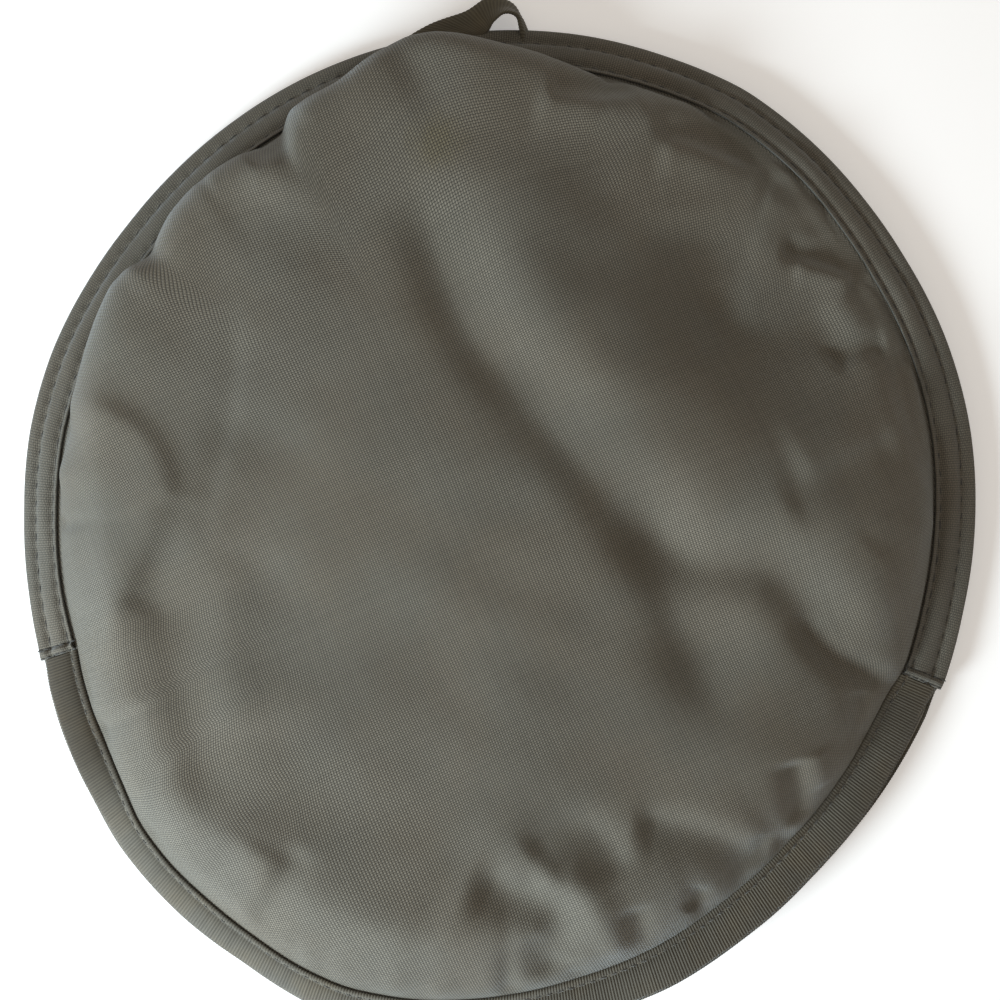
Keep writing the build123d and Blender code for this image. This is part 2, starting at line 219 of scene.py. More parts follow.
def in_mouth(angle, soft=1.2):
    """1 on the mouth's side of its corners and 0 on the sewn rim."""
    half = (360 - LEFT_CORNER + RIGHT_CORNER) / 2
    middle = (LEFT_CORNER + 360 + RIGHT_CORNER) / 2
    away = np.abs((np.asarray(angle, float) - middle + 180) % 360 - 180)
    return 1 - smooth(away, half - soft, half + soft)


# %% [markdown]
# The pouch is not a perfect circle. A hand-sewn rim swells here and there, stands up in places and
# droops in others, and the front lip sags forward. A list of stops round the rim says all of that:
# at each angle, how far out the seam is, how high it is, and by how much the tape droops.

# %% The seam's line round the rim
# angle, radius of the seam, height of the seam, droop of the tape in degrees
SEAM_STOPS = [
    (-22, 135.6, 6.0, 8), (-12, 135.4, 6.0, 8), (0, 136.4, 6.2, 8), (10, 137.6, 6.4, 10),
    (22, 138.4, 6.8, 12), (32, 138.6, 7.2, 13), (40, 139.6, 7.8, 16), (48, 141.2, 8.4, 20),
    (60, 142.9, 8.8, 20), (70, 142.2, 8.2, 19), (80, 142.0, 7.6, 17), (90, 141.3, 7.2, 15),
    (105, 140.3, 7.0, 15), (115, 139.2, 7.0, 15), (124, 138.2, 7.3, 17), (134, 137.2, 7.3, 17),
    (142, 136.7, 7.3, 17), (150, 137.0, 7.5, 18), (160, 137.9, 7.8, 20), (170, 138.1, 8.2, 23),
    (180, 137.6, 8.5, 26), (190, 137.9, 8.4, 26), (197, 138.2, 7.6, 21), (201, 139.7, 7.4, 18),
    (206, 140.8, 7.4, 15), (211, 141.4, 7.8, 15), (216, 143.0, 8.2, 22), (221, 145.6, 8.5, 30),
    (227, 146.7, 8.5, 32), (233, 147.1, 8.4, 30), (240, 148.0, 8.2, 34), (246, 149.5, 8.0, 33),
    (252, 150.4, 7.6, 28), (260, 149.2, 7.0, 20), (270, 146.3, 6.4, 11), (280, 143.0, 6.2, 5),
    (290, 140.4, 6.0, 2), (300, 137.1, 6.0, 2), (312, 134.6, 6.0, 2), (322, 133.8, 6.0, 3),
    (330, 133.3, 6.0, 4), (335, 133.6, 6.0, 6),
]
BACK_SWELLS = [(300, 15, 3.0), (214, 9, 4.0)]
# angle, how much the panel's edge puffs out over the band: 0 not at all, 1 past the rim
PUFF_STOPS = [
    (12, 0.00), (20, 0.10), (30, 0.12), (38, 0.08), (40, 0.13), (46, 0.06), (50, 0.12),
    (53, 0.06), (56, 0.14), (60, 0.24), (65, 0.33), (70, 0.34), (73, 0.24), (76, 0.22),
    (80, 0.40), (85, 0.58), (90, 0.72), (95, 0.90), (98, 0.97), (101, 0.97), (105, 0.84),
    (110, 0.66), (115, 0.60), (118, 0.54), (119.4, 0.34), (120.6, 0.10), (121.8, 0.14),
    (124, 0.34), (130, 0.46), (134, 0.51), (138, 0.48), (141, 0.39), (143.6, 0.29), (145, 0.36),
    (147, 0.50), (150, 0.55), (155, 0.48), (160, 0.39), (165, 0.30), (170, 0.22), (175, 0.14),
    (179, 0.03), (183, 0.00), (197, 0.00), (200, 0.10), (204, 0.13), (207.4, 0.15), (208.8, 0.0),
    (211, 0.08), (215.4, 0.12), (217, 0.0), (220, 0.10), (226, 0.10), (230, 0.06), (231.5, 0.0),
    (236, 0.0), (238, 0.06), (246, 0.04), (252, 0.0), (336, 0.0),
]
EASE_REACH = 2.2
PUFF_EASE_REACH = 1.1
# angle, how full the panel stands behind that edge
BODY_STOPS = [
    (-22, 0.10), (0, 0.10), (30, 0.0), (55, 0.10), (75, 0.40), (95, 0.85), (110, 0.75),
    (130, 0.58), (155, 0.50), (180, 0.40), (205, 0.36), (228, 0.40), (245, 0.42), (262, 0.4),
    (280, 0.32), (300, 0.25), (320, 0.15),
]
BODY_EASE_REACH = 8.0
PUFF_RANGE = (0.45, 0.8)  # share of the way out, 0 in the middle and 1 at the seam, where puffs set in
RIM_RANGE = (0.78, 0.95)  # and where their height begins to follow the notches at the edge
SLUMP = (41, 32)  # angle and width of the stretch where the panel sinks towards the rim
SLUMP_SHARE = 0.46
SLUMP_RANGE = (0.2, 0.8)


def total(angle, swellings):
    return sum(amount * bell(angle, centre, width) for centre, width, amount in swellings)


def round_the_rim(angle, stops, column, reach):
    """The value between stops, eased over a few degrees so that no corner shows."""
    at = [stop[0] for stop in stops]
    values = [stop[column] for stop in stops]
    offsets = np.linspace(-1, 1, 9)
    weights = 1 - offsets**2 + 0.1
    angle = np.asarray(angle, float)
    found = sum(
        weight * np.interp(angle + offset * reach, at, values, period=360)
        for offset, weight in zip(offsets, weights)
    )
    return found / weights.sum()


def seam_radius(angle):
    return round_the_rim(angle, SEAM_STOPS, 1, EASE_REACH)


def rim_radius(angle):
    return seam_radius(angle) + BAND_WIDTH * (1 - in_mouth(angle)) + LIP_WIDTH * in_mouth(angle)


def back_seam(angle):
    """The back panel's seam: it shares the sewn rim's, and has a line of its own in the mouth."""
    mouth = in_mouth(angle, BACK_MOUTH_SOFT)
    return seam_radius(angle) * (1 - mouth) + (SEAM_RADIUS + total(angle, BACK_SWELLS)) * mouth


def lift(y):
    """How far the flap stands up at rest: nothing behind the fold line, more and more in front."""
    return MOUTH_AJAR * LIFT_EASE * np.log1p(np.exp(np.clip((FOLD_LINE - y) / LIFT_EASE, -30, 30)))


def seam_height(angle):
    return round_the_rim(angle, SEAM_STOPS, 2, EASE_REACH)


def droop(angle):
    return np.radians(round_the_rim(angle, SEAM_STOPS, 3, EASE_REACH))


def edge_puff(angle, share):
    """How far the panel reaches out over the band; it has sharp notches."""
    return round_the_rim(angle, PUFF_STOPS, 1, PUFF_EASE_REACH) * smooth(share, *PUFF_RANGE)


def body_puff(angle, share):
    """How high the panel stands: it follows the notches at its edge and is even behind them."""
    body = round_the_rim(angle, BODY_STOPS, 1, BODY_EASE_REACH) * smooth(share, *PUFF_RANGE)
    rim_share = smooth(share, *RIM_RANGE)
    return edge_puff(angle, share) * rim_share + body * (1 - rim_share)


def seam_frame(angle):
    """The seam's place and its outward and upward directions, at each angle, for the front."""
    radius = seam_radius(angle)
    turn = np.radians(angle)
    out = np.stack([np.cos(turn), np.sin(turn), np.zeros_like(turn)], -1)
    up = np.zeros_like(out)
    up[..., 2] = 1
    place = out * radius[..., None]
    place[..., 2] = seam_height(angle) + lift(place[..., 1])
    fall = droop(angle)[..., None]
    return place, out * np.cos(fall) - up * np.sin(fall), up * np.cos(fall) + out * np.sin(fall)


rim_all_round = rim_radius(np.arange(360))
print("rim radius from", round(float(rim_all_round.min()), 1), "to", round(float(rim_all_round.max()), 1))

# %% [markdown]
# ## The panel's line from the middle to the seam
# Two outlines are mixed. The calm one is a low crown with a rounded shoulder that comes down to
# the seam. The puffed one keeps its height nearly to the rim and then tucks back under itself, as
# baggy cloth does over a binding. How much of each there is changes round the rim, and reach and
# height are mixed apart, because the cloth's edge is notched where the cloth behind it is even. A
# layer that lies deeper has the same outlines, drawn in by its depth, so the layers never cross.

# %% Outlines of a layer
OUTLINE_STEPS = 400
ARC_STEPS = 60
PUFF_REACH = 138.0
PUFF_RADIUS = 9.0
PUFF_DROP = 2.5
PUFF_TUCK = -78  # degrees: how far under itself the puffed outline turns


def evenly(r, z, steps=OUTLINE_STEPS):
    """The same line, with its points spaced evenly along it."""
    run = np.concatenate([[0], np.cumsum(np.hypot(np.diff(r), np.diff(z)))])
    at = np.linspace(0, run[-1], steps)
    return np.interp(at, run, r), np.interp(at, run, z)


def calm_outline(depth):
    shoulder = SHOULDER - depth
    top = TOP - depth
    flange = SEAM_HEIGHT + np.interp(depth, DEPTHS, RISES)
    excess = math.tan(CROWN_SLOPE / 2) * SEAM_RADIUS - (top - flange)
    turn = CROWN_SLOPE / 2 + math.acos((1 + excess / shoulder) * math.cos(CROWN_SLOPE / 2))
    crown = (SEAM_RADIUS - shoulder * (math.sin(turn) - math.sin(CROWN_SLOPE))) / math.sin(CROWN_SLOPE)
    a = np.linspace(0, CROWN_SLOPE, ARC_STEPS)
    b = np.linspace(CROWN_SLOPE, turn, ARC_STEPS)[1:]
    crown_end = crown * math.sin(CROWN_SLOPE), top - crown * (1 - math.cos(CROWN_SLOPE))
    shoulder_r = crown_end[0] + shoulder * (np.sin(b) - math.sin(CROWN_SLOPE))
    shoulder_z = crown_end[1] - shoulder * (math.cos(CROWN_SLOPE) - np.cos(b))
    r = np.concatenate([crown * np.sin(a), shoulder_r])
    z = np.concatenate([top - crown * (1 - np.cos(a)), shoulder_z])
    return evenly(r, z)


def puffed_outline(depth):
    flange = SEAM_HEIGHT + np.interp(depth, DEPTHS, RISES)
    middle = TOP - PUFF_DROP - PUFF_RADIUS
    radius = PUFF_RADIUS - depth
    a = np.linspace(0, PUFF_REACH, ARC_STEPS)
    b = np.radians(np.linspace(90, PUFF_TUCK, ARC_STEPS))[1:]
    face = TOP - depth - PUFF_DROP * (a / PUFF_REACH) ** 2
    r = np.concatenate([a, PUFF_REACH + radius * np.cos(b), [SEAM_RADIUS]])
    z = np.concatenate([face, middle + radius * np.sin(b), [flange]])
    return evenly(r, z)


for outline in (calm_outline, puffed_outline):
    print(outline.__name__, "length:", round(float(np.hypot(*np.diff(outline(0), axis=1)).sum())))

# %% [markdown]
# ## Folds, drawn as strokes
# A fold is a stroke across the cloth: a few given points, a height (negative for a valley) and a
# width on each side, so that a stroke can be steep on one side and easy on the other. All strokes
# together are one height field that every layer of the panel shares. The numbers are millimetres
# in the plan of the pouch.

# %% The strokes of the front panel
# points, height, width on the left of its run, width on the right of its run
STROKES = [
    # the long valley from the far side to the middle of the right half
    ([(-24, 112), (-22, 98), (-19, 80), (-12, 61), (-2, 45), (10, 31), (22, 18), (34, 3), (44, -10),
      (51, -22), (55, -34), (61, -48), (69, -60), (74, -72)], -4.4, 16, 10),
    # its second arm, which turns to the right corner of the mouth
    ([(34, 2), (46, -8), (58, -14), (70, -16), (82, -18), (92, -28), (101, -40), (111, -48),
      (124, -55)], -4.4, 11, 9),
    ([(88, -30), (98, -42), (108, -48), (118, -52), (128, -56)], -2.2, 3.5, 4.5),
    # the broad ridge beside the valley
    ([(-4, 118), (2, 92), (16, 68), (34, 48), (56, 24), (82, 6), (106, -14), (123, -40)], 5.0, 26, 22),
    # the hollow on the far right and the slope that leads down into it
    ([(62, 96), (65, 76), (72, 57), (90, 55), (112, 62)], -3.4, 12, 18),
    ([(68, 74), (72, 57), (90, 54), (110, 61)], -1.6, 6, 9),
    ([(76, 84), (98, 74), (112, 66)], 1.4, 9, 10),
    # the whole far right slumps towards the rim
    ([(50, 128), (92, 98), (118, 66), (132, 28)], -3.4, 20, 38),
    # a fan of small folds from the right rim
    ([(128, 30), (111, 23), (99, 17), (87, 11)], 1.9, 5, 13),
    ([(124, 21), (108, 13), (96, 6), (84, 0)], -2.0, 7, 8),
    ([(132, 8), (120, -4), (112, -14)], -1.0, 8, 8),
    # tucks along the far right rim
    ([(112, 80), (98, 81), (87, 83)], -3.2, 3.6, 3.8),
    ([(112, 72), (100, 75), (91, 76)], 1.8, 4, 5),
    ([(122, 52), (111, 51), (102, 46)], -3.2, 4, 4.5),
    ([(86, 107), (69, 109), (57, 112), (47, 113)], 2.2, 9, 4),
    ([(84, 110), (70, 115), (56, 118), (46, 118)], -2.4, 5, 5),
    ([(104, 96), (92, 96), (82, 99)], 1.2, 5, 5),
    # dents behind the far edge's bulge
    ([(10, 127), (24, 124), (37, 126), (48, 130)], 1.8, 4, 9),
    ([(14, 132), (28, 131), (44, 132)], -2.4, 5, 5),
    # the bulge's left flank and the notch beside it
    ([(-28, 142), (-48, 130), (-60, 119), (-69, 106), (-75, 92)], 2.2, 18, 5.5),
    ([(-60, 122), (-69, 112), (-76, 106)], -1.6, 4, 5),
    # the facet with two creased sides on the left
    ([(-132, 33), (-118, 28), (-106, 19), (-101, 5), (-107, -12), (-116, -29), (-124, -44)],
     2.0, 5, 12),
    ([(-98, 6), (-103, -12), (-112, -31)], -0.9, 9, 4),
    ([(-106, -2), (-100, -30), (-93, -57), (-87, -80), (-83, -98)], -1.4, 12, 8),
    ([(-80, 64), (-81, 36), (-85, 14), (-91, -14)], -0.6, 3.4, 5),
    ([(-78, -12), (-82, -40), (-77, -70)], 1.0, 9, 8),
    # the lower left, near the lip
    ([(-58, -98), (-65, -112), (-72, -124), (-76, -134)], -1.5, 6, 4.5),
    ([(-68, -98), (-76, -112), (-82, -122)], 1.0, 7, 9),
    # the swirl of folds at the lower right
    ([(8, -103), (15, -97), (24, -95), (31, -100), (34, -110)], -2.4, 6, 10),
    ([(38, -93), (49, -94), (61, -97), (71, -102), (81, -111)], -3.2, 5, 8),
    ([(-10, -108), (4, -114), (15, -118), (17, -126), (14, -132), (20, -141)], -3.8, 7, 8),
    ([(8, -106), (24, -112), (33, -126), (38, -138)], 2.2, 6, 6),
    ([(39, -116), (41, -125), (45, -136)], -2.0, 4.5, 5),
    ([(60, -112), (57, -120)], -1.8, 3.5, 3.5),
    ([(78, -97), (81, -107)], -1.8, 3.2, 3.2),
    ([(87, -74), (89, -84), (92, -95)], -2.8, 4.5, 5),
    ([(94, -72), (99, -84)], 1.4, 4, 4),
    ([(110, -54), (109, -66), (106, -76)], -1.8, 4.5, 5),
    # soft pillows elsewhere
    ([(-92, 102), (-78, 112)], 1.6, 9, 9),
    ([(-118, 70), (-100, 88), (-84, 98)], 1.2, 12, 14),
    ([(-60, 60), (-40, 30), (-20, 0), (-4, -30)], 1.4, 40, 34),
    ([(-60, -70), (-40, -100), (-10, -120)], -1.6, 26, 30),
]
STROKE_FADE = 0.17
STROKE_PIECES = 26


def curve_through(points, pieces):
    """A smooth run through given points (a Catmull-Rom curve)."""
    p = np.array(points, float)
    ends = np.concatenate([[2 * p[0] - p[1]], p, [2 * p[-1] - p[-2]]])
    at = np.linspace(0, len(p) - 1, pieces + 1)
    i = np.minimum(at.astype(int), len(p) - 2)
    f = (at - i)[:, None]
    a, b, c, d = ends[i], ends[i + 1], ends[i + 2], ends[i + 3]
    square, cube = 2 * a - 5 * b + 4 * c - d, 3 * b - a - 3 * c + d
    return 0.5 * (2 * b + (c - a) * f + square * f**2 + cube * f**3)


def stroke_height(x, y, points, height, left, right):
    line = curve_through(points, STROKE_PIECES)
    run = np.concatenate([[0], np.cumsum(np.hypot(*np.diff(line, axis=0).T))])
    near, share, side = np.full(x.shape, 1e9), np.zeros(x.shape), np.zeros(x.shape)
    for k in range(STROKE_PIECES):
        ax, ay = line[k]
        dx, dy = line[k + 1] - line[k]
        f = np.clip(((x - ax) * dx + (y - ay) * dy) / (dx * dx + dy * dy), 0, 1)
        away = np.hypot(x - ax - f * dx, y - ay - f * dy)
        closer = away < near
        near = np.where(closer, away, near)
        share = np.where(closer, (run[k] + f * (run[k + 1] - run[k])) / run[-1], share)
        side = np.where(closer, dx * (y - ay) - dy * (x - ax), side)
    width = np.where(side > 0, left, right)
    ends = smooth(share, 0, STROKE_FADE) * smooth(1 - share, 0, STROKE_FADE)
    return height * ends * np.exp(-((near / width) ** 2))


# %% [markdown]
# Cloth is never quite still between its folds. A few slow waves of random direction stand for
# that, and puckers stand along the seam, where the flat-cut panel was gathered into the binding.

# %% Slow waves and seam puckers
WAVE_COUNT = 26
WAVE_HEIGHT = 0.16
SHORTEST_WAVE, LONGEST_WAVE = 14, 60
PUCKER_COUNT = 74
PUCKER_CLEAR = 0.035  # share of the way out, next to the seam, where puckers fade away
FULL_TURN = 2 * math.pi
dice = np.random.default_rng(12)
WAVES = [
    (dice.uniform(0, FULL_TURN), dice.uniform(SHORTEST_WAVE, LONGEST_WAVE), dice.uniform(0, FULL_TURN))
    for _ in range(WAVE_COUNT)
]
PUCKERS = [
    (dice.uniform(0, 360), dice.uniform(1.0, 2.6), dice.uniform(-1.5, 1.1), dice.uniform(0.05, 0.15))
    for _ in range(PUCKER_COUNT)
]


def slow_waves(x, y):
    found = np.zeros(x.shape)
    for heading, length, start in WAVES:
        along = (x * math.cos(heading) + y * math.sin(heading)) * 2 * math.pi / length
        found += WAVE_HEIGHT * (length / LONGEST_WAVE) * np.sin(along + start)
    return found


def seam_puckers(angle, share):
    """Small gathers by the seam: share is 0 in the middle of the panel and 1 at the seam."""
    found = np.zeros(share.shape)
    for centre, width, height, reach in PUCKERS:
        found += height * bell(angle, centre, width) * np.exp(-(((1 - share) / reach) ** 2))
    return found * smooth(1 - share, 0.0, PUCKER_CLEAR)


def fold_height(x, y):
    return sum(stroke_height(x, y, *one) for one in STROKES) + slow_waves(x, y)


# %% [markdown]
# ## One layer of the front panel
# Each layer is a closed solid: a face on its outside, a face on its inside, and an edge that runs
# into the binding. A square grid is wrapped onto the disc so that its squares become rings. That
# keeps the mesh even everywhere, with no crowded pole in the middle, and its last ring is the
# seam. From the seam a few more rings follow the flange out under the binding.

# %% Point on a layer
FLANGE_END = 0.93  # share of the binding that the cloth fills
TRIMMED_END = 0.52  # the wadding and the lining are trimmed back, short of the hanging loop
CUT_RADIUS = 148.0
SEAM_CALM = 0.06  # next to the edge, the folds flatten out over this share of its radius
SEAM_CLEAR = 0.03
PUFF_OVERHANG = 11.0  # mm that a fully puffed edge reaches past the seam
FLOOR_EASE = 0.8  # mm, how softly a fold comes to rest on the seam's level, which it never goes below
FLOOR_CLEAR = 0.06  # over this last share of the way out, that softness shrinks to the least ease
LEAST_EASE = 0.01
GATHER_OUT, GATHER_UP = 0.55, 0.8  # how far a pucker pushes the cloth out and up


class Layer:
    """The surface at one depth of the front panel, with a share of its folds."""

    def __init__(self, depth, fold_share=1.0):
        self.fold_share = fold_share
        self.calm = calm_outline(depth)
        self.puffed = puffed_outline(depth)
        self.rise = float(np.interp(depth, DEPTHS, RISES))

    def place(self, share, angle):
        """Points at a share (0 in the middle, 1 at the seam) of the way out, at each angle."""
        at = np.linspace(0, 1, OUTLINE_STEPS)
        edge, body = edge_puff(angle, share), body_puff(angle, share)
        r = np.interp(share, at, self.calm[0]) * (1 - edge) + np.interp(share, at, self.puffed[0]) * edge
        z = np.interp(share, at, self.calm[1]) * (1 - body) + np.interp(share, at, self.puffed[1]) * body
        low = bell(angle, *SLUMP) * SLUMP_SHARE * smooth(share, *SLUMP_RANGE)
        z = SEAM_HEIGHT + (z - SEAM_HEIGHT) * (1 - low)
        r = r * (1 + (seam_radius(angle) / SEAM_RADIUS - 1) * share**2)
        gather = seam_puckers(angle, share) * self.fold_share
        r = r + GATHER_OUT * gather
        turn = np.radians(angle)
        x, y = r * np.cos(turn), r * np.sin(turn)
        reach = seam_radius(angle) + PUFF_OVERHANG * edge
        calm = smooth(1 - r / reach, 0.0, SEAM_CALM) * smooth(1 - share, 0.0, SEAM_CLEAR)
        folds = fold_height(x, y) * self.fold_share * calm
        z = z + GATHER_UP * gather + folds + lift(y) + (seam_height(angle) - SEAM_HEIGHT) * share**3
        floor = seam_height(angle) + self.rise + lift(y)
        ease = FLOOR_EASE * smooth(1 - share, 0.0, FLOOR_CLEAR) + LEAST_EASE
        z = floor + ease * np.logaddexp(0, (z - floor) / ease)
        return np.stack([x, y, z], -1)

    def flange(self, share, angle):
        """Points on the flange: share runs from 0 at the seam to 1 at the rim."""
        place, out, up = seam_frame(angle)
        width = (rim_radius(angle) - seam_radius(angle))[:, None]
        return place + out * width * share + up * self.rise


# %% Grid on a disc
def disc_grid(rings):
    """Shares and angles of a square grid that is wrapped onto a disc."""
    a, b = np.meshgrid(np.arange(-rings, rings + 1), np.arange(-rings, rings + 1), indexing="ij")
    a, b = a.astype(float), b.astype(float)
    ring = np.maximum(np.abs(a), np.abs(b))
    with np.errstate(divide="ignore", invalid="ignore"):
        angle = np.where(
            np.abs(a) >= np.abs(b),
            np.where(a > 0, 45 * b / a, 180 + 45 * b / a),
            np.where(b > 0, 90 - 45 * a / b, 270 - 45 * a / b),
        )
    return ring / rings, np.where(ring == 0, 0, angle)


def disc_faces(rings):
    side = 2 * rings + 1
    index = np.arange(side * side).reshape(side, side)
    return np.stack([index[:-1, :-1], index[1:, :-1], index[1:, 1:], index[:-1, 1:]], -1).reshape(-1, 4)


def disc_border(rings):
    """The grid's outer vertices, anticlockwise from angle 0."""
    end = 2 * rings
    path = [(end, rings + j) for j in range(rings)]
    path += [(end - j, end) for j in range(end)]
    path += [(0, end - j) for j in range(end)]
    path += [(j, 0) for j in range(end)]
    path += [(end, j) for j in range(rings)]
    return np.array([i * (end + 1) + j for i, j in path])


# %% Make a mesh object and a layer of the panel
FLANGE_STEPS = (0.13, 0.32, 0.59, 0.86, 1.0)


def new_piece(name, points, faces, material, uv=None):
    """A smooth mesh in metres from points in millimetres, with a map of the flat cloth if given."""
    mesh = bpy.data.meshes.new(name)
    mesh.from_pydata((np.asarray(points) * MM).tolist(), [], [tuple(int(i) for i in f) for f in faces])
    if uv is not None:
        layer = mesh.uv_layers.new(name="cloth")
        corners = np.zeros(len(mesh.loops), np.int32)
        mesh.loops.foreach_get("vertex_index", corners)
        layer.uv.foreach_set("vector", np.asarray(uv, np.float32)[corners].ravel())
    mesh.polygons.foreach_set("use_smooth", np.full(len(mesh.polygons), True))
    mesh.materials.append(material)
    mesh.update()
    piece = bpy.data.objects.new(name, mesh)
    bpy.context.scene.collection.objects.link(piece)
    return piece


def panel_layer(name, outside, inside, material, rings, inner_rings, flange_end=FLANGE_END):
    """A closed layer of the front panel between two Layer surfaces."""
    flange_steps = [step * flange_end for step in FLANGE_STEPS]
    points, faces, uv, loops, base = [], [], [], [], 0
    for surface, count, face_up in ((outside, rings, True), (inside, inner_rings, False)):
        share, angle = (values.ravel() for values in disc_grid(count))
        points.append(surface.place(share, angle))
        turn = np.radians(angle)
        uv.append(np.stack([share * np.cos(turn), share * np.sin(turn)], -1) * CUT_RADIUS)
        grid = disc_faces(count) + base
        faces += grid.tolist() if face_up else grid[:, ::-1].tolist()
        border = disc_border(count) + base
        base += len(share)
        rim_angle = np.arange(8 * count) * 360 / (8 * count)
        rim_turn = np.radians(rim_angle)
        rim_way = np.stack([np.cos(rim_turn), np.sin(rim_turn)], -1)
        for step in flange_steps:
            points.append(surface.flange(step, rim_angle))
            uv.append(rim_way * (CUT_RADIUS + step * BAND_WIDTH))
            ring = base + np.arange(8 * count)
            pairs = np.stack([border, ring, np.roll(ring, -1), np.roll(border, -1)], -1)
            faces += pairs.tolist() if face_up else pairs[:, ::-1].tolist()
            border = ring
            base += 8 * count
        loops.append(border)
    outer, inner = loops
    ratio = len(outer) // len(inner)
    for j in range(len(inner)):
        strip = [int(outer[(ratio * j + k) % len(outer)]) for k in range(ratio + 1)]
        faces.append([int(inner[j]), *strip, int(inner[(j + 1) % len(inner)])][::-1])
    return new_piece(name, np.concatenate(points), faces, material, uv=np.concatenate(uv))


# %% [markdown]
# ## Finishes
# The cloth is a plain weave: each yarn goes over one yarn and under the next. Where a yarn is on
# top it is painted light, and where it dives it is painted dark: painted shade in the weave's
# hollows. Nodes draw it from the flat cloth's own coordinates, so that the weave bends with the
# folds. The yarns' height also drives a bump. An image of cloth would be quicker, but it would
# repeat and would not follow a change of pitch.

# %% Helpers for finishes
SHEEN_ROUGHNESS = 0.45
GLOSS = 0.25


def ramp(tree, value, low, high, out_low=0.0, out_high=1.0):
    """A Map Range node with an easy curve."""
    inputs = {"Value": value, "From Min": low, "From Max": high, "To Min": out_low, "To Max": out_high}
    return add_node(tree, "ShaderNodeMapRange", inputs, interpolation_type="SMOOTHSTEP").outputs["Result"]


def blend_colours(tree, share, first, second, mode="MIX"):
    """A Mix node for colours; each colour is a socket or three numbers."""
    node = add_node(tree, "ShaderNodeMix", data_type="RGBA", blend_type=mode)
    for name, value in (("Factor_Float", share), ("A_Color", first), ("B_Color", second)):
        target = next(s for s in node.inputs if s.identifier == name)
        feed(tree, target, (*value, 1) if isinstance(value, tuple) else value)
    return next(s for s in node.outputs if s.identifier == "Result_Color")


def noise(tree, where, scale, detail=2.0, roughness=0.5):
    inputs = {"Vector": where, "Scale": scale, "Detail": detail, "Roughness": roughness}
    return add_node(tree, "ShaderNodeTexNoise", inputs).outputs["Fac"]


def chance(tree, number):
    """A random number from 0 to 1 for each whole number."""
    pair = {"Vector": add_node(tree, "ShaderNodeCombineXYZ", {0: number, 1: number}).outputs[0]}
    return add_node(tree, "ShaderNodeTexWhiteNoise", pair, noise_dimensions="3D").outputs["Value"]


def new_finish(name, roughness, sheen, sheen_tint):
    finish = bpy.data.materials.new(name)
    finish.use_nodes = True
    tree = finish.node_tree
    shader = tree.nodes["Principled BSDF"]
    for key, value in (
        ("Roughness", roughness),
        ("Sheen Weight", sheen),
        ("Sheen Roughness", SHEEN_ROUGHNESS),
        ("Sheen Tint", (*sheen_tint, 1)),
        ("Specular IOR Level", GLOSS),
    ):
        shader.inputs[key].default_value = value
    return finish, tree, shader


def paint(tree, shader, colour, height, depth):
    """Gives the shader its colour, and a bump of this depth in metres."""
    tree.links.new(colour, shader.inputs["Base Color"])
    relief = add_node(tree, "ShaderNodeBump", {"Distance": depth, "Strength": 1.0, "Height": height})
    tree.links.new(relief.outputs["Normal"], shader.inputs["Normal"])


# %% The woven cloth
WARP_PITCH = 0.79
WEFT_PITCH = 0.63
WANDER_SCALE = 0.012  # the yarns don't run quite straight: how fast they wander, and how far in mm
WANDER_REACH = 9.0
YARN_DIVE = 0.45  # share of its height that a yarn loses where it dives


def weave(tree, warp_pitch, weft_pitch, lean):
    """A plain weave: its height, which yarn is on top (1 for the warp), a random number for each
    warp yarn and each weft yarn, and the turned map. The warp runs upwards, turned by the lean."""
    flat = add_node(tree, "ShaderNodeUVMap", uv_map="cloth").outputs["UV"]
    wander = {"Vector": flat, "Scale": WANDER_SCALE, "Detail": 1.0}
    wander = add_node(tree, "ShaderNodeTexNoise", wander).outputs["Color"]
    drift = vector_calc(tree, "MULTIPLY_ADD", {0: wander, 1: (WANDER_REACH, WANDER_REACH, 0), 2: flat})
    turned = {"Vector": drift, "Rotation": (0, 0, -math.radians(lean))}
    turned = add_node(tree, "ShaderNodeMapping", turned).outputs[0]
    apart = add_node(tree, "ShaderNodeSeparateXYZ", {0: turned}).outputs
    yarns = []
    for along, pitch in ((apart[0], warp_pitch), (apart[1], weft_pitch)):
        at = calc(tree, "DIVIDE", along, pitch)
        number = calc(tree, "FLOOR", at)
        side = calc(tree, "MULTIPLY_ADD", calc(tree, "SUBTRACT", at, number), 2.0, -1.0)
        yarns.append((number, calc(tree, "MULTIPLY", side, side)))
    (warp, from_warp), (weft, from_weft) = yarns
    warp_up = calc(tree, "FLOORED_MODULO", calc(tree, "ADD", warp, weft), 2.0)
    heights = []
    for across, along in ((from_weft, from_warp), (from_warp, from_weft)):
        crown = calc(tree, "SUBTRACT", 1.0, across)
        arch = calc(tree, "SUBTRACT", 1.0, calc(tree, "MULTIPLY", along, YARN_DIVE))
        heights.append(calc(tree, "MULTIPLY", crown, arch))
    gain = calc(tree, "SUBTRACT", heights[1], heights[0])
    height = calc(tree, "MULTIPLY_ADD", gain, warp_up, heights[0])
    return height, warp_up, chance(tree, warp), chance(tree, weft), turned


def add_stain(tree, flat, colour, centre, radius, stain_colour, amount):
    """A soft round stain at a place on the pouch, in metres, with a ragged edge."""
    place = add_node(tree, "ShaderNodeMapping", {
        "Location": [-c / radius for c in centre],
        "Scale": (1 / radius,) * 3,
        "Vector": add_node(tree, "ShaderNodeTexCoord").outputs["Object"],
    })
    away = vector_calc(tree, "LENGTH", {0: place.outputs[0]}, "Value")
    ragged = calc(tree, "ADD", away, calc(tree, "MULTIPLY", noise(tree, flat, 0.25, 3.0), 0.7))
    share = ramp(tree, ragged, 1.35, 0.3, 0.0, amount)
    return blend_colours(tree, share, colour, stain_colour, "MULTIPLY")


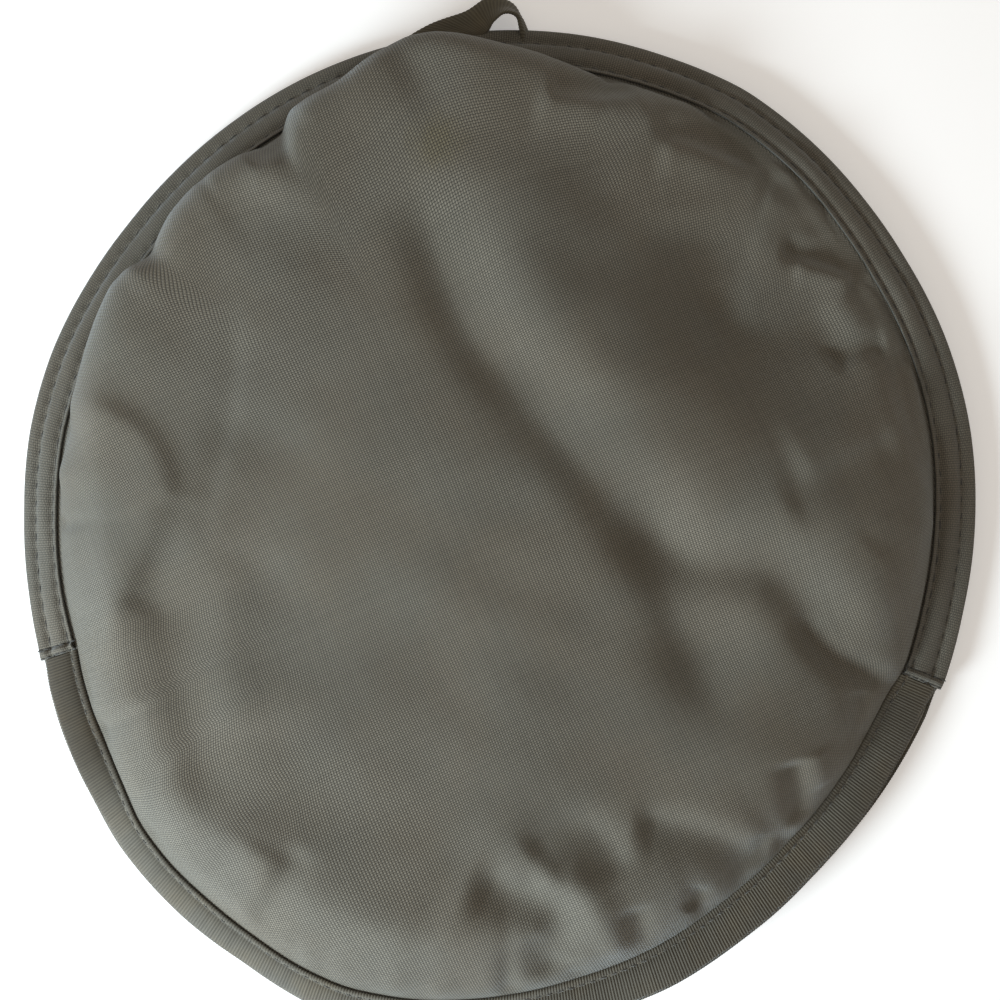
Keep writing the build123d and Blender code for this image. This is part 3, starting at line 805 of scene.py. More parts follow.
def woven_finish(name, dark, light, lean, pitches, relief, stain=None):
    """Cloth: light where a yarn crowns and painted shade where it dives, with streaks from yarn to yarn and
    slow changes of tone.
    """
    finish, tree, shader = new_finish(name, 0.70, 0.25, (0.80, 0.92, 1.0))
    height, warp_up, warp, weft, flat = weave(tree, *pitches, lean)
    warp_gain = calc(tree, "MULTIPLY_ADD", warp_up, 0.22, 0.78)
    # painted shade: the colour goes dark where a yarn dives and between the yarns, and light on its crown
    lit = calc(tree, "MULTIPLY", ramp(tree, height, 0.05, 0.85), warp_gain)
    yarn = blend_colours(tree, lit, dark, light)
    streak = calc(tree, "MULTIPLY_ADD", warp, 0.07, calc(tree, "MULTIPLY_ADD", weft, 0.07, 0.93))
    cloudy = calc(tree, "MULTIPLY_ADD", noise(tree, flat, 0.05, 4.0, 0.6), 0.16, 0.92)
    shade = calc(tree, "MULTIPLY", streak, cloudy)
    patch = noise(tree, flat, 0.022, 3.0)
    tint = blend_colours(tree, ramp(tree, patch, 0.36, 0.64), (0.985, 1.005, 1.01), (1.02, 1.0, 0.97))
    coloured = blend_colours(tree, 1.0, yarn, tint, "MULTIPLY")
    grey = add_node(tree, "ShaderNodeCombineColor", {0: shade, 1: shade, 2: shade}).outputs[0]
    colour = blend_colours(tree, 1.0, coloured, grey, "MULTIPLY")
    if stain is not None:
        colour = add_stain(tree, flat, colour, *stain)
    paint(tree, shader, colour, height, relief)
    return finish


YARN_PITCHES = (WARP_PITCH, WEFT_PITCH)
LINING_PITCHES = (0.4, 0.4)
FAR_STAIN = ((-0.019, 0.112, 0.026), 0.013, (0.96, 0.90, 0.62), 0.55)  # place, radius, tint, strength
cloth_finish = woven_finish(
    "outer_cloth", (0.020, 0.018, 0.014), (0.195, 0.178, 0.142), 23.5, YARN_PITCHES, 0.00012, FAR_STAIN
)
band_finish = woven_finish(
    "band_cloth", (0.034, 0.030, 0.024), (0.150, 0.136, 0.108), 4.0, YARN_PITCHES, 0.00009
)
lining_finish = woven_finish(
    "lining_cloth", (0.150, 0.142, 0.124), (0.300, 0.286, 0.252), 0.0, LINING_PITCHES, 0.00005
)
print("woven finishes:", [f.name for f in (cloth_finish, band_finish, lining_finish)])

# %% [markdown]
# The mouth is bound with ribbed tape. Its ribs are real relief, made further down, and the finish
# adds a change of tone from rib to rib, fine fibres, and painted shade: darker hollows and lighter
# crests. Thread is dark, and on the rim near black as painted shade of the stitches' dips. It is
# slightly glossy, with a fine twist. Wadding is white and fibrous.

# %% Tape, thread and wadding
RIB_PITCH = 0.95
WORN_TINT = (1.08, 1.02, 0.93)
# painted shade: the tint of the darker, browner stretch at the start of each lip's tape, by the left corner
PAINTED_SHADE_TINT = (0.50, 0.44, 0.36)


def tape_finish(name, dark, light, shaded_to=0.0):
    """Ribbed tape; its first stretch, up to shaded_to millimetres, is painted browner and darker as shade.
    """
    finish, tree, shader = new_finish(name, 0.78, 0.2, (0.9, 0.95, 1.0))
    flat = add_node(tree, "ShaderNodeUVMap", uv_map="cloth").outputs["UV"]
    along = add_node(tree, "ShaderNodeSeparateXYZ", {0: flat}).outputs[0]
    turns = calc(tree, "DIVIDE", along, RIB_PITCH)
    # painted shade: each rib's colour is lighter on its crest and darker in the hollow beside it
    crest = calc(tree, "COSINE", calc(tree, "MULTIPLY", turns, 2 * math.pi))
    lit = calc(tree, "MULTIPLY_ADD", crest, 0.20, 0.42)
    uneven = calc(tree, "MULTIPLY", chance(tree, calc(tree, "FLOOR", turns)), 0.12)
    fibres = noise(tree, flat, 2.4, 3.0, 0.7)
    fuzz = calc(tree, "MULTIPLY_ADD", fibres, 0.5, -0.32)
    mixed = calc(tree, "ADD", calc(tree, "ADD", lit, uneven), fuzz)
    colour = blend_colours(tree, add_node(tree, "ShaderNodeClamp", {0: mixed}).outputs[0], dark, light)
    changes = [(ramp(tree, noise(tree, flat, 0.06, 3.0), 0.42, 0.68), WORN_TINT)]
    # painted shade over the tape's first stretch, fading out along it
    if shaded_to > 0:
        changes.append((ramp(tree, along, shaded_to * 0.45, shaded_to, 1.0, 0.0), PAINTED_SHADE_TINT))
    for share, tint in changes:
        colour = blend_colours(tree, share, colour, blend_colours(tree, 1.0, colour, tint, "MULTIPLY"))
    paint(tree, shader, colour, fibres, 0.00010)
    return finish


def fibre_finish(name, look, fibre, tones, edges, depth):
    """Fibres: look is for new_finish, and fibre is the noise's scale, detail and roughness."""
    finish, tree, shader = new_finish(name, *look)
    fine = noise(tree, add_node(tree, "ShaderNodeTexCoord").outputs["Object"], *fibre)
    paint(tree, shader, blend_colours(tree, ramp(tree, fine, *edges), *tones), fine, depth)
    return finish


def thread_finish(name, colour):
    """Dark thread: its twist makes it a little darker and lighter by turns."""
    tones = tuple(0.6 * c for c in colour), tuple(1.35 * c for c in colour)
    return fibre_finish(name, (0.55, 0.3, (0.9, 0.95, 1.0)), (1800, 2.0), tones, (0.35, 0.65), 0.00008)


lip_tape_finish = tape_finish("lip_tape", (0.040, 0.036, 0.028), (0.158, 0.148, 0.118), shaded_to=64.0)
loop_tape_finish = tape_finish("loop_tape", (0.050, 0.044, 0.031), (0.145, 0.130, 0.094))
# painted shade: the rim's thread is near black for the shade in the stitches' dips; the real thread has the
# cloth's colour
stitch_finish = thread_finish("stitch_thread", (0.036, 0.033, 0.027))
edge_thread_finish = thread_finish("edge_thread", (0.070, 0.066, 0.056))
WADDING_TONES = ((0.62, 0.60, 0.55), (0.88, 0.87, 0.83))
wadding_finish = fibre_finish(
    "wadding_fibre", (0.9, 0.3, (1, 1, 1)), (900, 5.0, 0.75), WADDING_TONES, (0.3, 0.7), 0.0006
)
print("finishes:", [m.name for m in bpy.data.materials])

# %% [markdown]
# ## The front panel
# Outer cloth, wadding and lining are each one piece of material from rim to lip. They ride on the
# pouch behind the fold line and on the flap in front of it, and bend in between.

# %% Helpers that bend a piece over the mouth and hide the parts it replaces
BEND_START = (0, -0.046, 0.029)
BEND_END = (0, -0.112, 0.029)


def bend_over_mouth(piece):
    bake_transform(piece, "pouch", "front_flap", start=BEND_START, end=BEND_END)


def stands_for(piece, slot, *nodes):
    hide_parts(*nodes)


# %% Build the front panel
# each face of a layer is a Layer: its depth in mm, and the share of the folds that it follows
front_cloth = panel_layer("front_outer_cloth", Layer(0.0), Layer(0.66), cloth_finish, 112, 56)
front_wadding = panel_layer(
    "front_wadding", Layer(1.2), Layer(6.2, 0.8), wadding_finish, 112, 56, TRIMMED_END
)
front_lining = panel_layer(
    "front_lining_cloth", Layer(6.7, 0.8), Layer(7.2, 0.8), lining_finish, 64, 32, TRIMMED_END
)
for piece, nodes, slot in (
    (front_cloth, ("front_cover", "flap_cover"), "outer_cloth"),
    (front_wadding, ("front_padding", "flap_padding"), "padding"),
    (front_lining, ("front_lining", "flap_lining"), "lining"),
):
    bend_over_mouth(piece)
    stands_for(piece, slot, *nodes)
    print(piece.name, "faces:", len(piece.data.polygons))

# %% [markdown]
# ## The back panel
# The back panel lies flat on the table and rolls up to the seam at its edge. Its shape follows a
# plain rule, a height that depends only on the distance from the middle, so Geometry Nodes make
# it: a flat closed disc goes in, and a few Math nodes lift its points past the flat part.

# %% Helpers for Geometry Nodes
def new_tree(name, *sizes):
    """An empty tree. Its inputs are geometry, each size as (name, kind, value), and a finish."""
    tree = bpy.data.node_groups.new(name, "GeometryNodeTree")
    for label, kind, value in (("Geometry", "Geometry", None), *sizes, ("Finish", "Material", None)):
        socket = tree.interface.new_socket(name=label, in_out="INPUT", socket_type="NodeSocket" + kind)
        if value is not None:
            socket.default_value = value
    tree.interface.new_socket(name="Geometry", in_out="OUTPUT", socket_type="NodeSocketGeometry")
    return tree, add_node(tree, "NodeGroupInput").outputs


def end_tree(tree, geometry, finish):
    """The tree's result is real mesh, in its finish."""
    real = add_node(tree, "GeometryNodeRealizeInstances", {0: geometry}).outputs[0]
    finished = add_node(tree, "GeometryNodeSetMaterial", {"Geometry": real, "Material": finish})
    add_node(tree, "NodeGroupOutput", {0: finished.outputs[0]})
    return tree


def with_tree(name, source, tree, **values):
    """Runs a Geometry Nodes tree on an object and keeps the result as a plain mesh of its own."""
    modifier = source.modifiers.new("make", "NODES")
    modifier.node_group = tree
    for socket in tree.interface.items_tree:
        key = socket.name.replace(" ", "_").lower()
        if socket.item_type == "SOCKET" and socket.in_out == "INPUT" and key in values:
            modifier[socket.identifier] = values[key]
    source.update_tag()
    bpy.context.view_layer.update()
    made = bpy.data.meshes.new_from_object(source.evaluated_get(bpy.context.evaluated_depsgraph_get()))
    bpy.data.objects.remove(source)
    made.name = name
    made.polygons.foreach_set("use_smooth", np.full(len(made.polygons), True))
    piece = bpy.data.objects.new(name, made)
    bpy.context.scene.collection.objects.link(piece)
    return piece


# %% A tree that presses a disc into the back panel's shape
FLAT_RADIUS = 112.0
ROLL = 24.0  # how far the rolled-up part reaches past the flat one
ROLL_RADIUS = 70.0
ROLL_RISE = ROLL_RADIUS - math.sqrt(ROLL_RADIUS**2 - ROLL**2)
RIPPLE = 0.0004
RIPPLE_SCALE = 26.0


def back_panel_tree():
    """Lifts a flat disc: past the flat radius it rolls up in an arc, and within it ripples slowly."""
    tree, given = new_tree(
        "back_panel_press",
        ("Flat radius", "Float", FLAT_RADIUS * MM),
        ("Roll radius", "Float", ROLL_RADIUS * MM),
        ("Ripple", "Float", RIPPLE),
    )
    place = add_node(tree, "GeometryNodeInputPosition").outputs[0]
    apart = add_node(tree, "ShaderNodeSeparateXYZ", {0: place}).outputs
    x, y, roll = apart[0], apart[1], given["Roll radius"]
    squares = calc(tree, "ADD", calc(tree, "MULTIPLY", x, x), calc(tree, "MULTIPLY", y, y))
    reach = calc(tree, "SQRT", squares)
    past = calc(tree, "MAXIMUM", calc(tree, "SUBTRACT", reach, given["Flat radius"]), 0.0)
    past = calc(tree, "MINIMUM", past, ROLL * MM)
    past_square = calc(tree, "MULTIPLY", past, past)
    left = calc(tree, "SUBTRACT", calc(tree, "MULTIPLY", roll, roll), past_square)
    rise = calc(tree, "SUBTRACT", roll, calc(tree, "SQRT", left))
    edge_free = calc(tree, "SUBTRACT", 1.0, calc(tree, "DIVIDE", past, ROLL * MM))
    waves = calc(tree, "MULTIPLY", noise(tree, place, RIPPLE_SCALE), given["Ripple"])
    up = calc(tree, "ADD", rise, calc(tree, "MULTIPLY", waves, edge_free))
    offset = add_node(tree, "ShaderNodeCombineXYZ", {2: up}).outputs[0]
    move = add_node(tree, "GeometryNodeSetPosition", {"Geometry": given["Geometry"], "Offset": offset})
    return end_tree(tree, move.outputs[0], given["Finish"])


back_press = back_panel_tree()
print("tree inputs:", [s.name for s in back_press.interface.items_tree if s.in_out == "INPUT"])

# %% Build the back panel
BACK_TRIM = 1.2  # the layers stop this far short of the lip's fold


def back_layer(name, low, high, low_rise, high_rise, finish, rings):
    """A flat closed disc from low to high, pressed by the tree; its rim thins into the binding."""
    share, angle = (values.ravel() for values in disc_grid(rings))
    turn = np.radians(angle)
    sewn = 1 - in_mouth(angle, BACK_MOUTH_SOFT)
    r = share * (SEAM_RADIUS + BACK_LIP_WIDTH - BACK_TRIM)
    past_seam = np.maximum(r - SEAM_RADIUS, 0)
    near_seam = smooth(r, FLAT_RADIUS, SEAM_RADIUS)
    fall = droop(angle) * sewn
    out = np.minimum(r, SEAM_RADIUS) * (1 + (back_seam(angle) / SEAM_RADIUS - 1) * near_seam)
    out = out + past_seam * np.cos(fall)
    follow = (seam_height(angle) - SEAM_HEIGHT) * sewn * near_seam - past_seam * np.sin(fall)
    flat_map = np.stack([out * np.cos(turn), out * np.sin(turn)], -1)
    points, faces, borders = [], [], []
    for level, rise, face_up in ((high, high_rise, True), (low, low_rise, False)):
        z = level + (rise - level) * near_seam - near_seam * ROLL_RISE + follow
        base = len(r) * len(points)
        points.append(np.column_stack([flat_map, z]))
        grid = disc_faces(rings) + base
        faces += grid.tolist() if face_up else grid[:, ::-1].tolist()
        borders.append(disc_border(rings) + base)
    top, bottom = borders
    faces += np.stack([bottom, np.roll(bottom, -1), np.roll(top, -1), top], -1).tolist()
    both_maps = np.concatenate([flat_map, flat_map])
    flat = new_piece(name + "_flat", np.concatenate(points), faces, finish, uv=both_maps)
    return with_tree(name, flat, back_press, finish=finish)


# name, lower and upper level in the middle, the same two at the seam, finish, rings, node, slot
BACK_LAYERS = (
    ("back_outer_cloth", 0.0, 0.66, 4.3, 4.96, cloth_finish, 72, "back_cover", "outer_cloth"),
    ("back_wadding", 0.74, 6.6, 5.02, 5.4, wadding_finish, 48, "back_padding", "padding"),
    ("back_lining_cloth", 6.7, 7.2, 5.5, 5.95, lining_finish, 48, "back_lining", "lining"),
)
for *shape, node, slot in BACK_LAYERS:
    piece = back_layer(*shape)
    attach(piece, "pouch")
    stands_for(piece, slot, node)
    print(piece.name, "faces:", len(piece.data.polygons))

# %% [markdown]
# ## Bindings
# A binding is a tape folded over the edge of the panels. Its section is a narrow U: a face on top,
# a rounded fold at the rim and a face below. One helper carries a section along the rim and keeps
# the tape's length and width as its flat map. A second tree then raises ribs across the tape.

# %% Carry a section along the rim
def swept_tape(name, places, outs, ups, sections, along, finish):
    """A closed strip: sections is (stations, points, 2), each point as (outward, upward)."""
    stations, count = sections.shape[:2]
    points = places[:, None, :] + outs[:, None, :] * sections[..., 0:1]
    points = points + ups[:, None, :] * sections[..., 1:2]
    index = np.arange(stations * count).reshape(stations, count)
    side = np.stack(
        [index[:-1, :], np.roll(index, -1, 1)[:-1, :], np.roll(index, -1, 1)[1:, :], index[1:, :]], -1
    ).reshape(-1, 4)
    faces = side.tolist() + [index[0][::-1].tolist(), index[-1].tolist()]
    gaps = np.hypot(*np.diff(sections, axis=1, append=sections[:, :1]).transpose(2, 0, 1))
    across = np.cumsum(gaps, 1) - gaps
    uv = np.stack([np.repeat(along[:, None], count, 1), across], -1).reshape(-1, 2)
    return new_piece(name, points.reshape(-1, 3), faces, finish, uv=uv)


def folded_section(top, bottom, tape):
    """A U from its top and bottom lines (outward, upward), given from the inside edge to the rim."""
    line = np.array(top + bottom[::-1], float)
    run = np.gradient(line, axis=0)
    run /= np.hypot(*run.T)[:, None]
    inward = np.stack([run[:, 1], -run[:, 0]], -1)
    inside = (line + inward * tape)[::-1]
    return np.concatenate([line, inside])


# %% A tree that raises ribs
RIB_RELIEF = 0.00012


def rib_tree():
    """Raises and lowers a tape's surface in a wave along its length."""
    tree, given = new_tree("tape_ribs", ("Pitch", "Float", RIB_PITCH), ("Relief", "Float", RIB_RELIEF))
    length = add_node(tree, "GeometryNodeInputNamedAttribute", {"Name": "length_mm"}, data_type="FLOAT")
    turns = calc(tree, "DIVIDE", length.outputs["Attribute"], given["Pitch"])
    wave = calc(tree, "COSINE", calc(tree, "MULTIPLY", turns, 2 * math.pi))
    amount = calc(tree, "MULTIPLY", wave, given["Relief"])
    normal = add_node(tree, "GeometryNodeInputNormal").outputs[0]
    push = vector_calc(tree, "SCALE", {0: normal, "Scale": amount})
    move = add_node(tree, "GeometryNodeSetPosition", {"Geometry": given["Geometry"], "Offset": push})
    return end_tree(tree, move.outputs[0], given["Finish"])


ribs = rib_tree()


def ribbed(name, tape, along, relief, finish):
    """The same tape with its ribs raised by the tree; along says how far along each station is."""
    length = tape.data.attributes.new("length_mm", "FLOAT", "POINT")
    at_points = np.repeat(along, len(tape.data.vertices) // len(along))
    length.data.foreach_set("value", at_points.astype(np.float32))
    made = with_tree(name, tape, ribs, relief=relief, finish=finish)
    made.data.attributes.remove(made.data.attributes["length_mm"])
    return made


def run_along(places):
    step = np.linalg.norm(np.diff(places, axis=0), axis=1)
    return np.concatenate([[0], np.cumsum(step)])


# %% [markdown]
# The rim's band is held by two rows of stitches. Each row pulls the tape down into a furrow and
# each single stitch pulls a little more, so the band puffs up between the rows and between the
# stitches. The mouth's bindings are narrower. The front one has a raised roll at its inner edge.

# %% The rim's band
STITCH_PITCH = 5.5
OUTER_ROW = 5.0  # how far each row of stitches is from the rim
INNER_ROW = 12.0
BAND_STATIONS = 860
HEM_REACH = 2.4  # degrees of the band's end that its folded hem takes up
HEM_STATIONS = 30
HEM_EDGE = 13.2  # the hem's rope fades away before the rim's fold
BAND_STEPS = [0.15, 0.7, 1.3, 2.0, 2.7, 3.5, 4.5, 5.5, 6.5, 7.4, 8.2, 9.0, 9.8, 10.6, 11.5, 12.5, 13.3]
BAND_FOLD = [(13.75, 1.85), (14.0, 0.6), (13.95, -0.7), (13.6, -1.7)]
BAND_UNDER_STEPS = [0.15, 2.0, 4.0, 6.5, 9.0, 11.5, 13.0]

band_angles = np.concatenate([
    np.linspace(RIGHT_CORNER, RIGHT_CORNER + HEM_REACH, HEM_STATIONS)[:-1],
    np.linspace(RIGHT_CORNER + HEM_REACH, LEFT_CORNER - HEM_REACH, BAND_STATIONS),
    np.linspace(LEFT_CORNER - HEM_REACH, LEFT_CORNER, HEM_STATIONS)[1:],
])
band_place, band_out, band_up = seam_frame(band_angles)
band_run = run_along(band_place + band_out * BAND_WIDTH)


def ridge(at, middle, width):
    """A smooth ridge, 1 high, across a line."""
    return np.exp(-(((at - middle) / width) ** 2))


def band_top(out, run):
    """Height of the band's top face above the seam: out is from the seam, run is along the band."""
    pull = 0.5 + 0.5 * np.cos(2 * math.pi * run / STITCH_PITCH)
    furrow = 0.75 + 0.35 * pull
    wobble = 0.25 * np.sin(run / 9.1) + 0.2 * np.sin(run / 4.3 + 2)
    height = 2.75 + (0.55 + wobble) * ridge(out, 5.4, 2.4) + 0.25 * ridge(out, 11.6, 1.6)
    height = height - furrow * ridge(out, BAND_WIDTH - OUTER_ROW, 0.95)
    height = height - furrow * ridge(out, BAND_WIDTH - INNER_ROW, 0.8)
    from_end = np.minimum(run, band_run[-1] - run)
    hem = 0.75 * ridge(from_end, 1.75, 0.8) - 0.55 * ridge(from_end, 3.1, 0.4)
    return height + hem * smooth(HEM_EDGE - out, 0.0, 2.4) - 0.9 * ridge(from_end, 0, 0.55)


def band_section(run):
    top = [(out, float(band_top(out, run))) for out in BAND_STEPS]
    bottom = [
        (out, -2.3 + 0.5 * ridge(out, 9, 1.0) + 0.5 * ridge(out, 2, 1.0)) for out in BAND_UNDER_STEPS
    ]
    return folded_section(top + BAND_FOLD, bottom, TAPE)


band_sections = np.array([band_section(run) for run in band_run])
rim_band = swept_tape("rim_band", band_place, band_out, band_up, band_sections, band_run, band_finish)
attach(rim_band, "pouch")
stands_for(rim_band, "binding_tape", "rim_binding")
print("rim band faces:", len(rim_band.data.polygons), "run in mm:", round(float(band_run[-1])))

# %% The mouth's bindings
LIP_ROW = 2.1
LIP_STATIONS = 1900
LIP_GAP = 0.14  # degrees between the end of a lip's tape and the corner
BACK_LIP_LEVEL = 4.3

lip_angles = np.linspace(LEFT_CORNER + LIP_GAP, 360 + RIGHT_CORNER - LIP_GAP, LIP_STATIONS)


def lip_section(width, top, bottom, roll):
    """A lip's U: a rolled inner edge, the stitch furrow, then a crowned face to the fold."""
    face = [(-0.55, 0.1), (-0.5, 0.1 + roll * 0.6), (0.15, 0.25 + roll), (0.95, 0.2 + roll * 0.8),
            (1.6, 0.05), (LIP_ROW, -0.28), (2.7, 0.12), (4.0, 0.55), (6.0, 0.75), (8.5, 0.65),
            (width - 1.7, 0.15), (width - 0.6, -0.75)]
    fold = [(width, -0.5 * (1.7 - top) + 0.3), (width - 0.15, bottom + 0.6)]
    under = [(0.4, -0.3), (LIP_ROW, 0.1), (5.0, -0.35), (width - 2.5, -0.2), (width - 0.8, 0.05)]
    face = [(out, top + height) for out, height in face]
    under = [(out, bottom + height) for out, height in under]
    return folded_section(face + fold, under, TAPE)


def lip_binding(name, place, out, up, width, section, relief):
    """A ribbed tape along a lip. Its outer part wobbles a little, as tape sewn by hand does."""
    run = run_along(place + out * width)
    wobble = 0.18 * np.sin(run / 13.0) + 0.14 * np.sin(run / 5.7 + 1)
    outer_share = np.clip(section[None, :, 0:1], 0, 6) / 6
    sections = section[None] + np.stack([np.zeros_like(run), wobble], -1)[:, None, :] * outer_share
    flat = swept_tape(name + "_flat", place, out, up, sections, run, lip_tape_finish)
    return ribbed(name, flat, run, relief, lip_tape_finish)


front_line = seam_frame(lip_angles)
front_section = lip_section(LIP_WIDTH, 1.85, -0.1, 0.55)
front_lip = lip_binding("front_lip_tape", *front_line, LIP_WIDTH, front_section, 0.00013)
bend_over_mouth(front_lip)
stands_for(front_lip, "binding_tape", "front_lip_binding")

back_turn = np.radians(lip_angles)
back_out = np.stack([np.cos(back_turn), np.sin(back_turn), np.zeros_like(back_turn)], -1)
back_up = np.tile(np.array([0.0, 0.0, 1.0]), (LIP_STATIONS, 1))
back_line = (back_out * back_seam(lip_angles)[:, None] + back_up * BACK_LIP_LEVEL, back_out, back_up)
back_section = lip_section(BACK_LIP_WIDTH, 0.7, -0.1, 0.3)
back_lip = lip_binding("back_lip_tape", *back_line, BACK_LIP_WIDTH, back_section, 0.00010)
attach(back_lip, "pouch")
stands_for(back_lip, "binding_tape", "back_lip_binding")
print("lip tapes, faces:", len(front_lip.data.polygons), len(back_lip.data.polygons))

# %% [markdown]
# ## Stitches
# A stitch is a short loop of thread that dives into the cloth at both ends. One small thread shape
# is made point by point and a tree sets a copy at each step along a row, turned to follow it, each
# with its own slight tilt, length and depth. Realize Instances makes them real mesh.

# %% One stitch and the tree that repeats it
STITCH_RINGS, STITCH_SIDES = 7, 6
SLACK = 0.10  # how unevenly the stitches lie
TILT_SHARES = (0.5, 0.8, 1.6)
SMALLEST_STITCH = (0.80, 0.85, 0.85)
LARGEST_STITCH = (1.12, 1.15, 1.15)


def stitch_shape(length, width, height):
    """A slightly arched, tapering bar with a few dozen faces, its middle at the origin, along X."""
    rings, sides = STITCH_RINGS, STITCH_SIDES
    points, faces = [], []
    for i in range(rings):
        t = i / (rings - 1) * 2 - 1
        girth = width / 2 * ((1 - abs(t) ** 3.0) ** 0.5 * 0.92 + 0.08)
        arch = height * (1 - t * t) - 0.25 * height
        for j in range(sides):
            a = 2 * math.pi * j / sides
            points.append((t * length / 2, math.cos(a) * girth, arch + math.sin(a) * girth * 0.7))
    for i in range(rings - 1):
        for j in range(sides):
            k = (j + 1) % sides
            faces.append((i * sides + j, i * sides + k, (i + 1) * sides + k, (i + 1) * sides + j))
    faces.append(tuple(range(sides))[::-1])
    faces.append(tuple((rings - 1) * sides + j for j in range(sides)))
    return new_piece("stitch_shape", points, faces, stitch_finish)


def stitch_tree():
    """Sets a copy of the thread at each step along a row, turned to follow it and a little uneven."""
    tree, given = new_tree(
        "stitch_row",
        ("Thread", "Object", None),
        ("Pitch", "Float", STITCH_PITCH * MM),
        ("Slack", "Float", SLACK),
        ("Seed", "Int", 3),
    )
    row = add_node(tree, "GeometryNodeMeshToCurve", {0: given["Geometry"]}).outputs[0]
    upward = add_node(tree, "GeometryNodeInputNamedAttribute", {"Name": "up"}, data_type="FLOAT_VECTOR")
    keep_up = add_node(tree, "GeometryNodeCaptureAttribute")
    keep_up.capture_items.new("VECTOR", "up")
    for key, value in (("Geometry", row), ("up", upward.outputs["Attribute"])):
        feed(tree, keep_up.inputs[key], value)
    line = {"Curve": keep_up.outputs["Geometry"], "Length": given["Pitch"]}
    spots = add_node(tree, "GeometryNodeCurveToPoints", line, mode="LENGTH")
    axes = {"Primary Axis": spots.outputs["Tangent"], "Secondary Axis": keep_up.outputs["up"]}
    along_row = add_node(tree, "FunctionNodeAxesToRotation", axes, primary_axis="X", secondary_axis="Z")
    most = vector_calc(tree, "SCALE", {0: TILT_SHARES, "Scale": given["Slack"]})
    least = vector_calc(tree, "SCALE", {0: most, "Scale": -1.0})
    tilt = {"Min": least, "Max": most, "Seed": given["Seed"]}
    tilt = add_node(tree, "FunctionNodeRandomValue", tilt, data_type="FLOAT_VECTOR").outputs[0]
    size = {"Min": SMALLEST_STITCH, "Max": LARGEST_STITCH, "Seed": calc(tree, "ADD", given["Seed"], 1)}
    size = add_node(tree, "FunctionNodeRandomValue", size, data_type="FLOAT_VECTOR").outputs[0]
    tilt = add_node(tree, "FunctionNodeEulerToRotation", {0: tilt}).outputs[0]
    turn = {"Rotation": along_row.outputs[0], "Rotate By": tilt}
    turn = add_node(tree, "FunctionNodeRotateRotation", turn, rotation_space="LOCAL").outputs[0]
    thread = add_node(tree, "GeometryNodeObjectInfo", {"Object": given["Thread"]}).outputs["Geometry"]
    copies = {"Points": spots.outputs["Points"], "Instance": thread, "Rotation": turn, "Scale": size}
    copies = add_node(tree, "GeometryNodeInstanceOnPoints", copies)
    return end_tree(tree, copies.outputs[0], given["Finish"])


stitcher = stitch_tree()


def stitched(name, rows, shape, pitch, seed, finish, slack=SLACK):
    """Stitches along rows of (points, upward directions), joined in one piece."""
    points, edges, ups = [], [], []
    for line, up in rows:
        edges += [(len(points) + i, len(points) + i + 1) for i in range(len(line) - 1)]
        points += (np.asarray(line) * MM).tolist()
        ups += np.asarray(up).tolist()
    mesh = bpy.data.meshes.new(name)
    mesh.from_pydata(points, edges, [])
    upward = mesh.attributes.new("up", "FLOAT_VECTOR", "POINT")
    upward.data.foreach_set("vector", np.array(ups, np.float32).ravel())
    row = bpy.data.objects.new(name + "_row", mesh)
    bpy.context.scene.collection.objects.link(row)
    made = with_tree(
        name, row, stitcher, thread=shape, pitch=pitch * MM, slack=slack, seed=seed, finish=finish
    )
    for old in [a.name for a in made.data.attributes if a.name == "up"]:
        made.data.attributes.remove(made.data.attributes[old])
    print(name, "faces:", len(made.data.polygons))
    return made


# %% Rows round the rim
ROW_SINK = 0.16
ROW_STATIONS = 900
CLEAR_OF_TACK = 2.0
BAND_UNDER = 1.8  # how far the band's underside lies below the seam
rim_thread = stitch_shape(3.6, 0.58, 0.34)
row_angles = np.linspace(RIGHT_CORNER + CLEAR_OF_TACK, LEFT_CORNER - CLEAR_OF_TACK, ROW_STATIONS)
row_place, row_out, row_up = seam_frame(row_angles)
row_run = np.interp(row_angles, band_angles, band_run)


def band_rows(from_rim):
    """The row's line on the band's top and the same line on its underside."""
    out = BAND_WIDTH - from_rim
    top = row_place + row_out * out + row_up * (band_top(out, row_run) - ROW_SINK)[:, None]
    under = row_place + row_out * out - row_up * (BAND_UNDER - ROW_SINK)
    return [(top, row_up), (under, -row_up)]


for name, from_rim, node, seed in (
    ("rim_outer_stitches", OUTER_ROW, "rim_outer_stitching", 5),
    ("rim_inner_stitches", INNER_ROW, "rim_inner_stitching", 6),
):
    stitches = stitched(name, band_rows(from_rim), rim_thread, STITCH_PITCH, seed, stitch_finish)
    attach(stitches, "pouch")
    stands_for(stitches, "thread", node)

# %% Rows on the lips
LIP_STITCH_PITCH = 3.4
LIP_UNDER = -0.05
LIP_ROW_SPAN = slice(12, -12, 3)  # clear of the corners, and every third station is enough
lip_thread = stitch_shape(2.6, 0.5, 0.25)


def lip_stitches(name, line, face_height, seed):
    """A row of stitches on the lip's upper face and the same row below."""
    place, out, up = (part[LIP_ROW_SPAN] for part in line)
    rows = [
        (place + out * LIP_ROW + up * height, way) for height, way in ((face_height, up), (LIP_UNDER, -up))
    ]
    return stitched(name, rows, lip_thread, LIP_STITCH_PITCH, seed, edge_thread_finish)


front_stitches = lip_stitches("front_lip_stitches", front_line, 1.6, 8)
bend_over_mouth(front_stitches)
stands_for(front_stitches, "thread", "front_lip_stitching")
back_stitches = lip_stitches("back_lip_stitches", back_line, 0.45, 9)
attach(back_stitches, "pouch")
stands_for(back_stitches, "thread", "back_lip_stitching")

# %% [markdown]
# ## Corners of the mouth
# At each corner the band's end is folded under and tacked down with a dense row of thread that
# runs out across the band. The fold shows as a raised rope beside a dark line of thread, near black
# as painted shade along the hem.

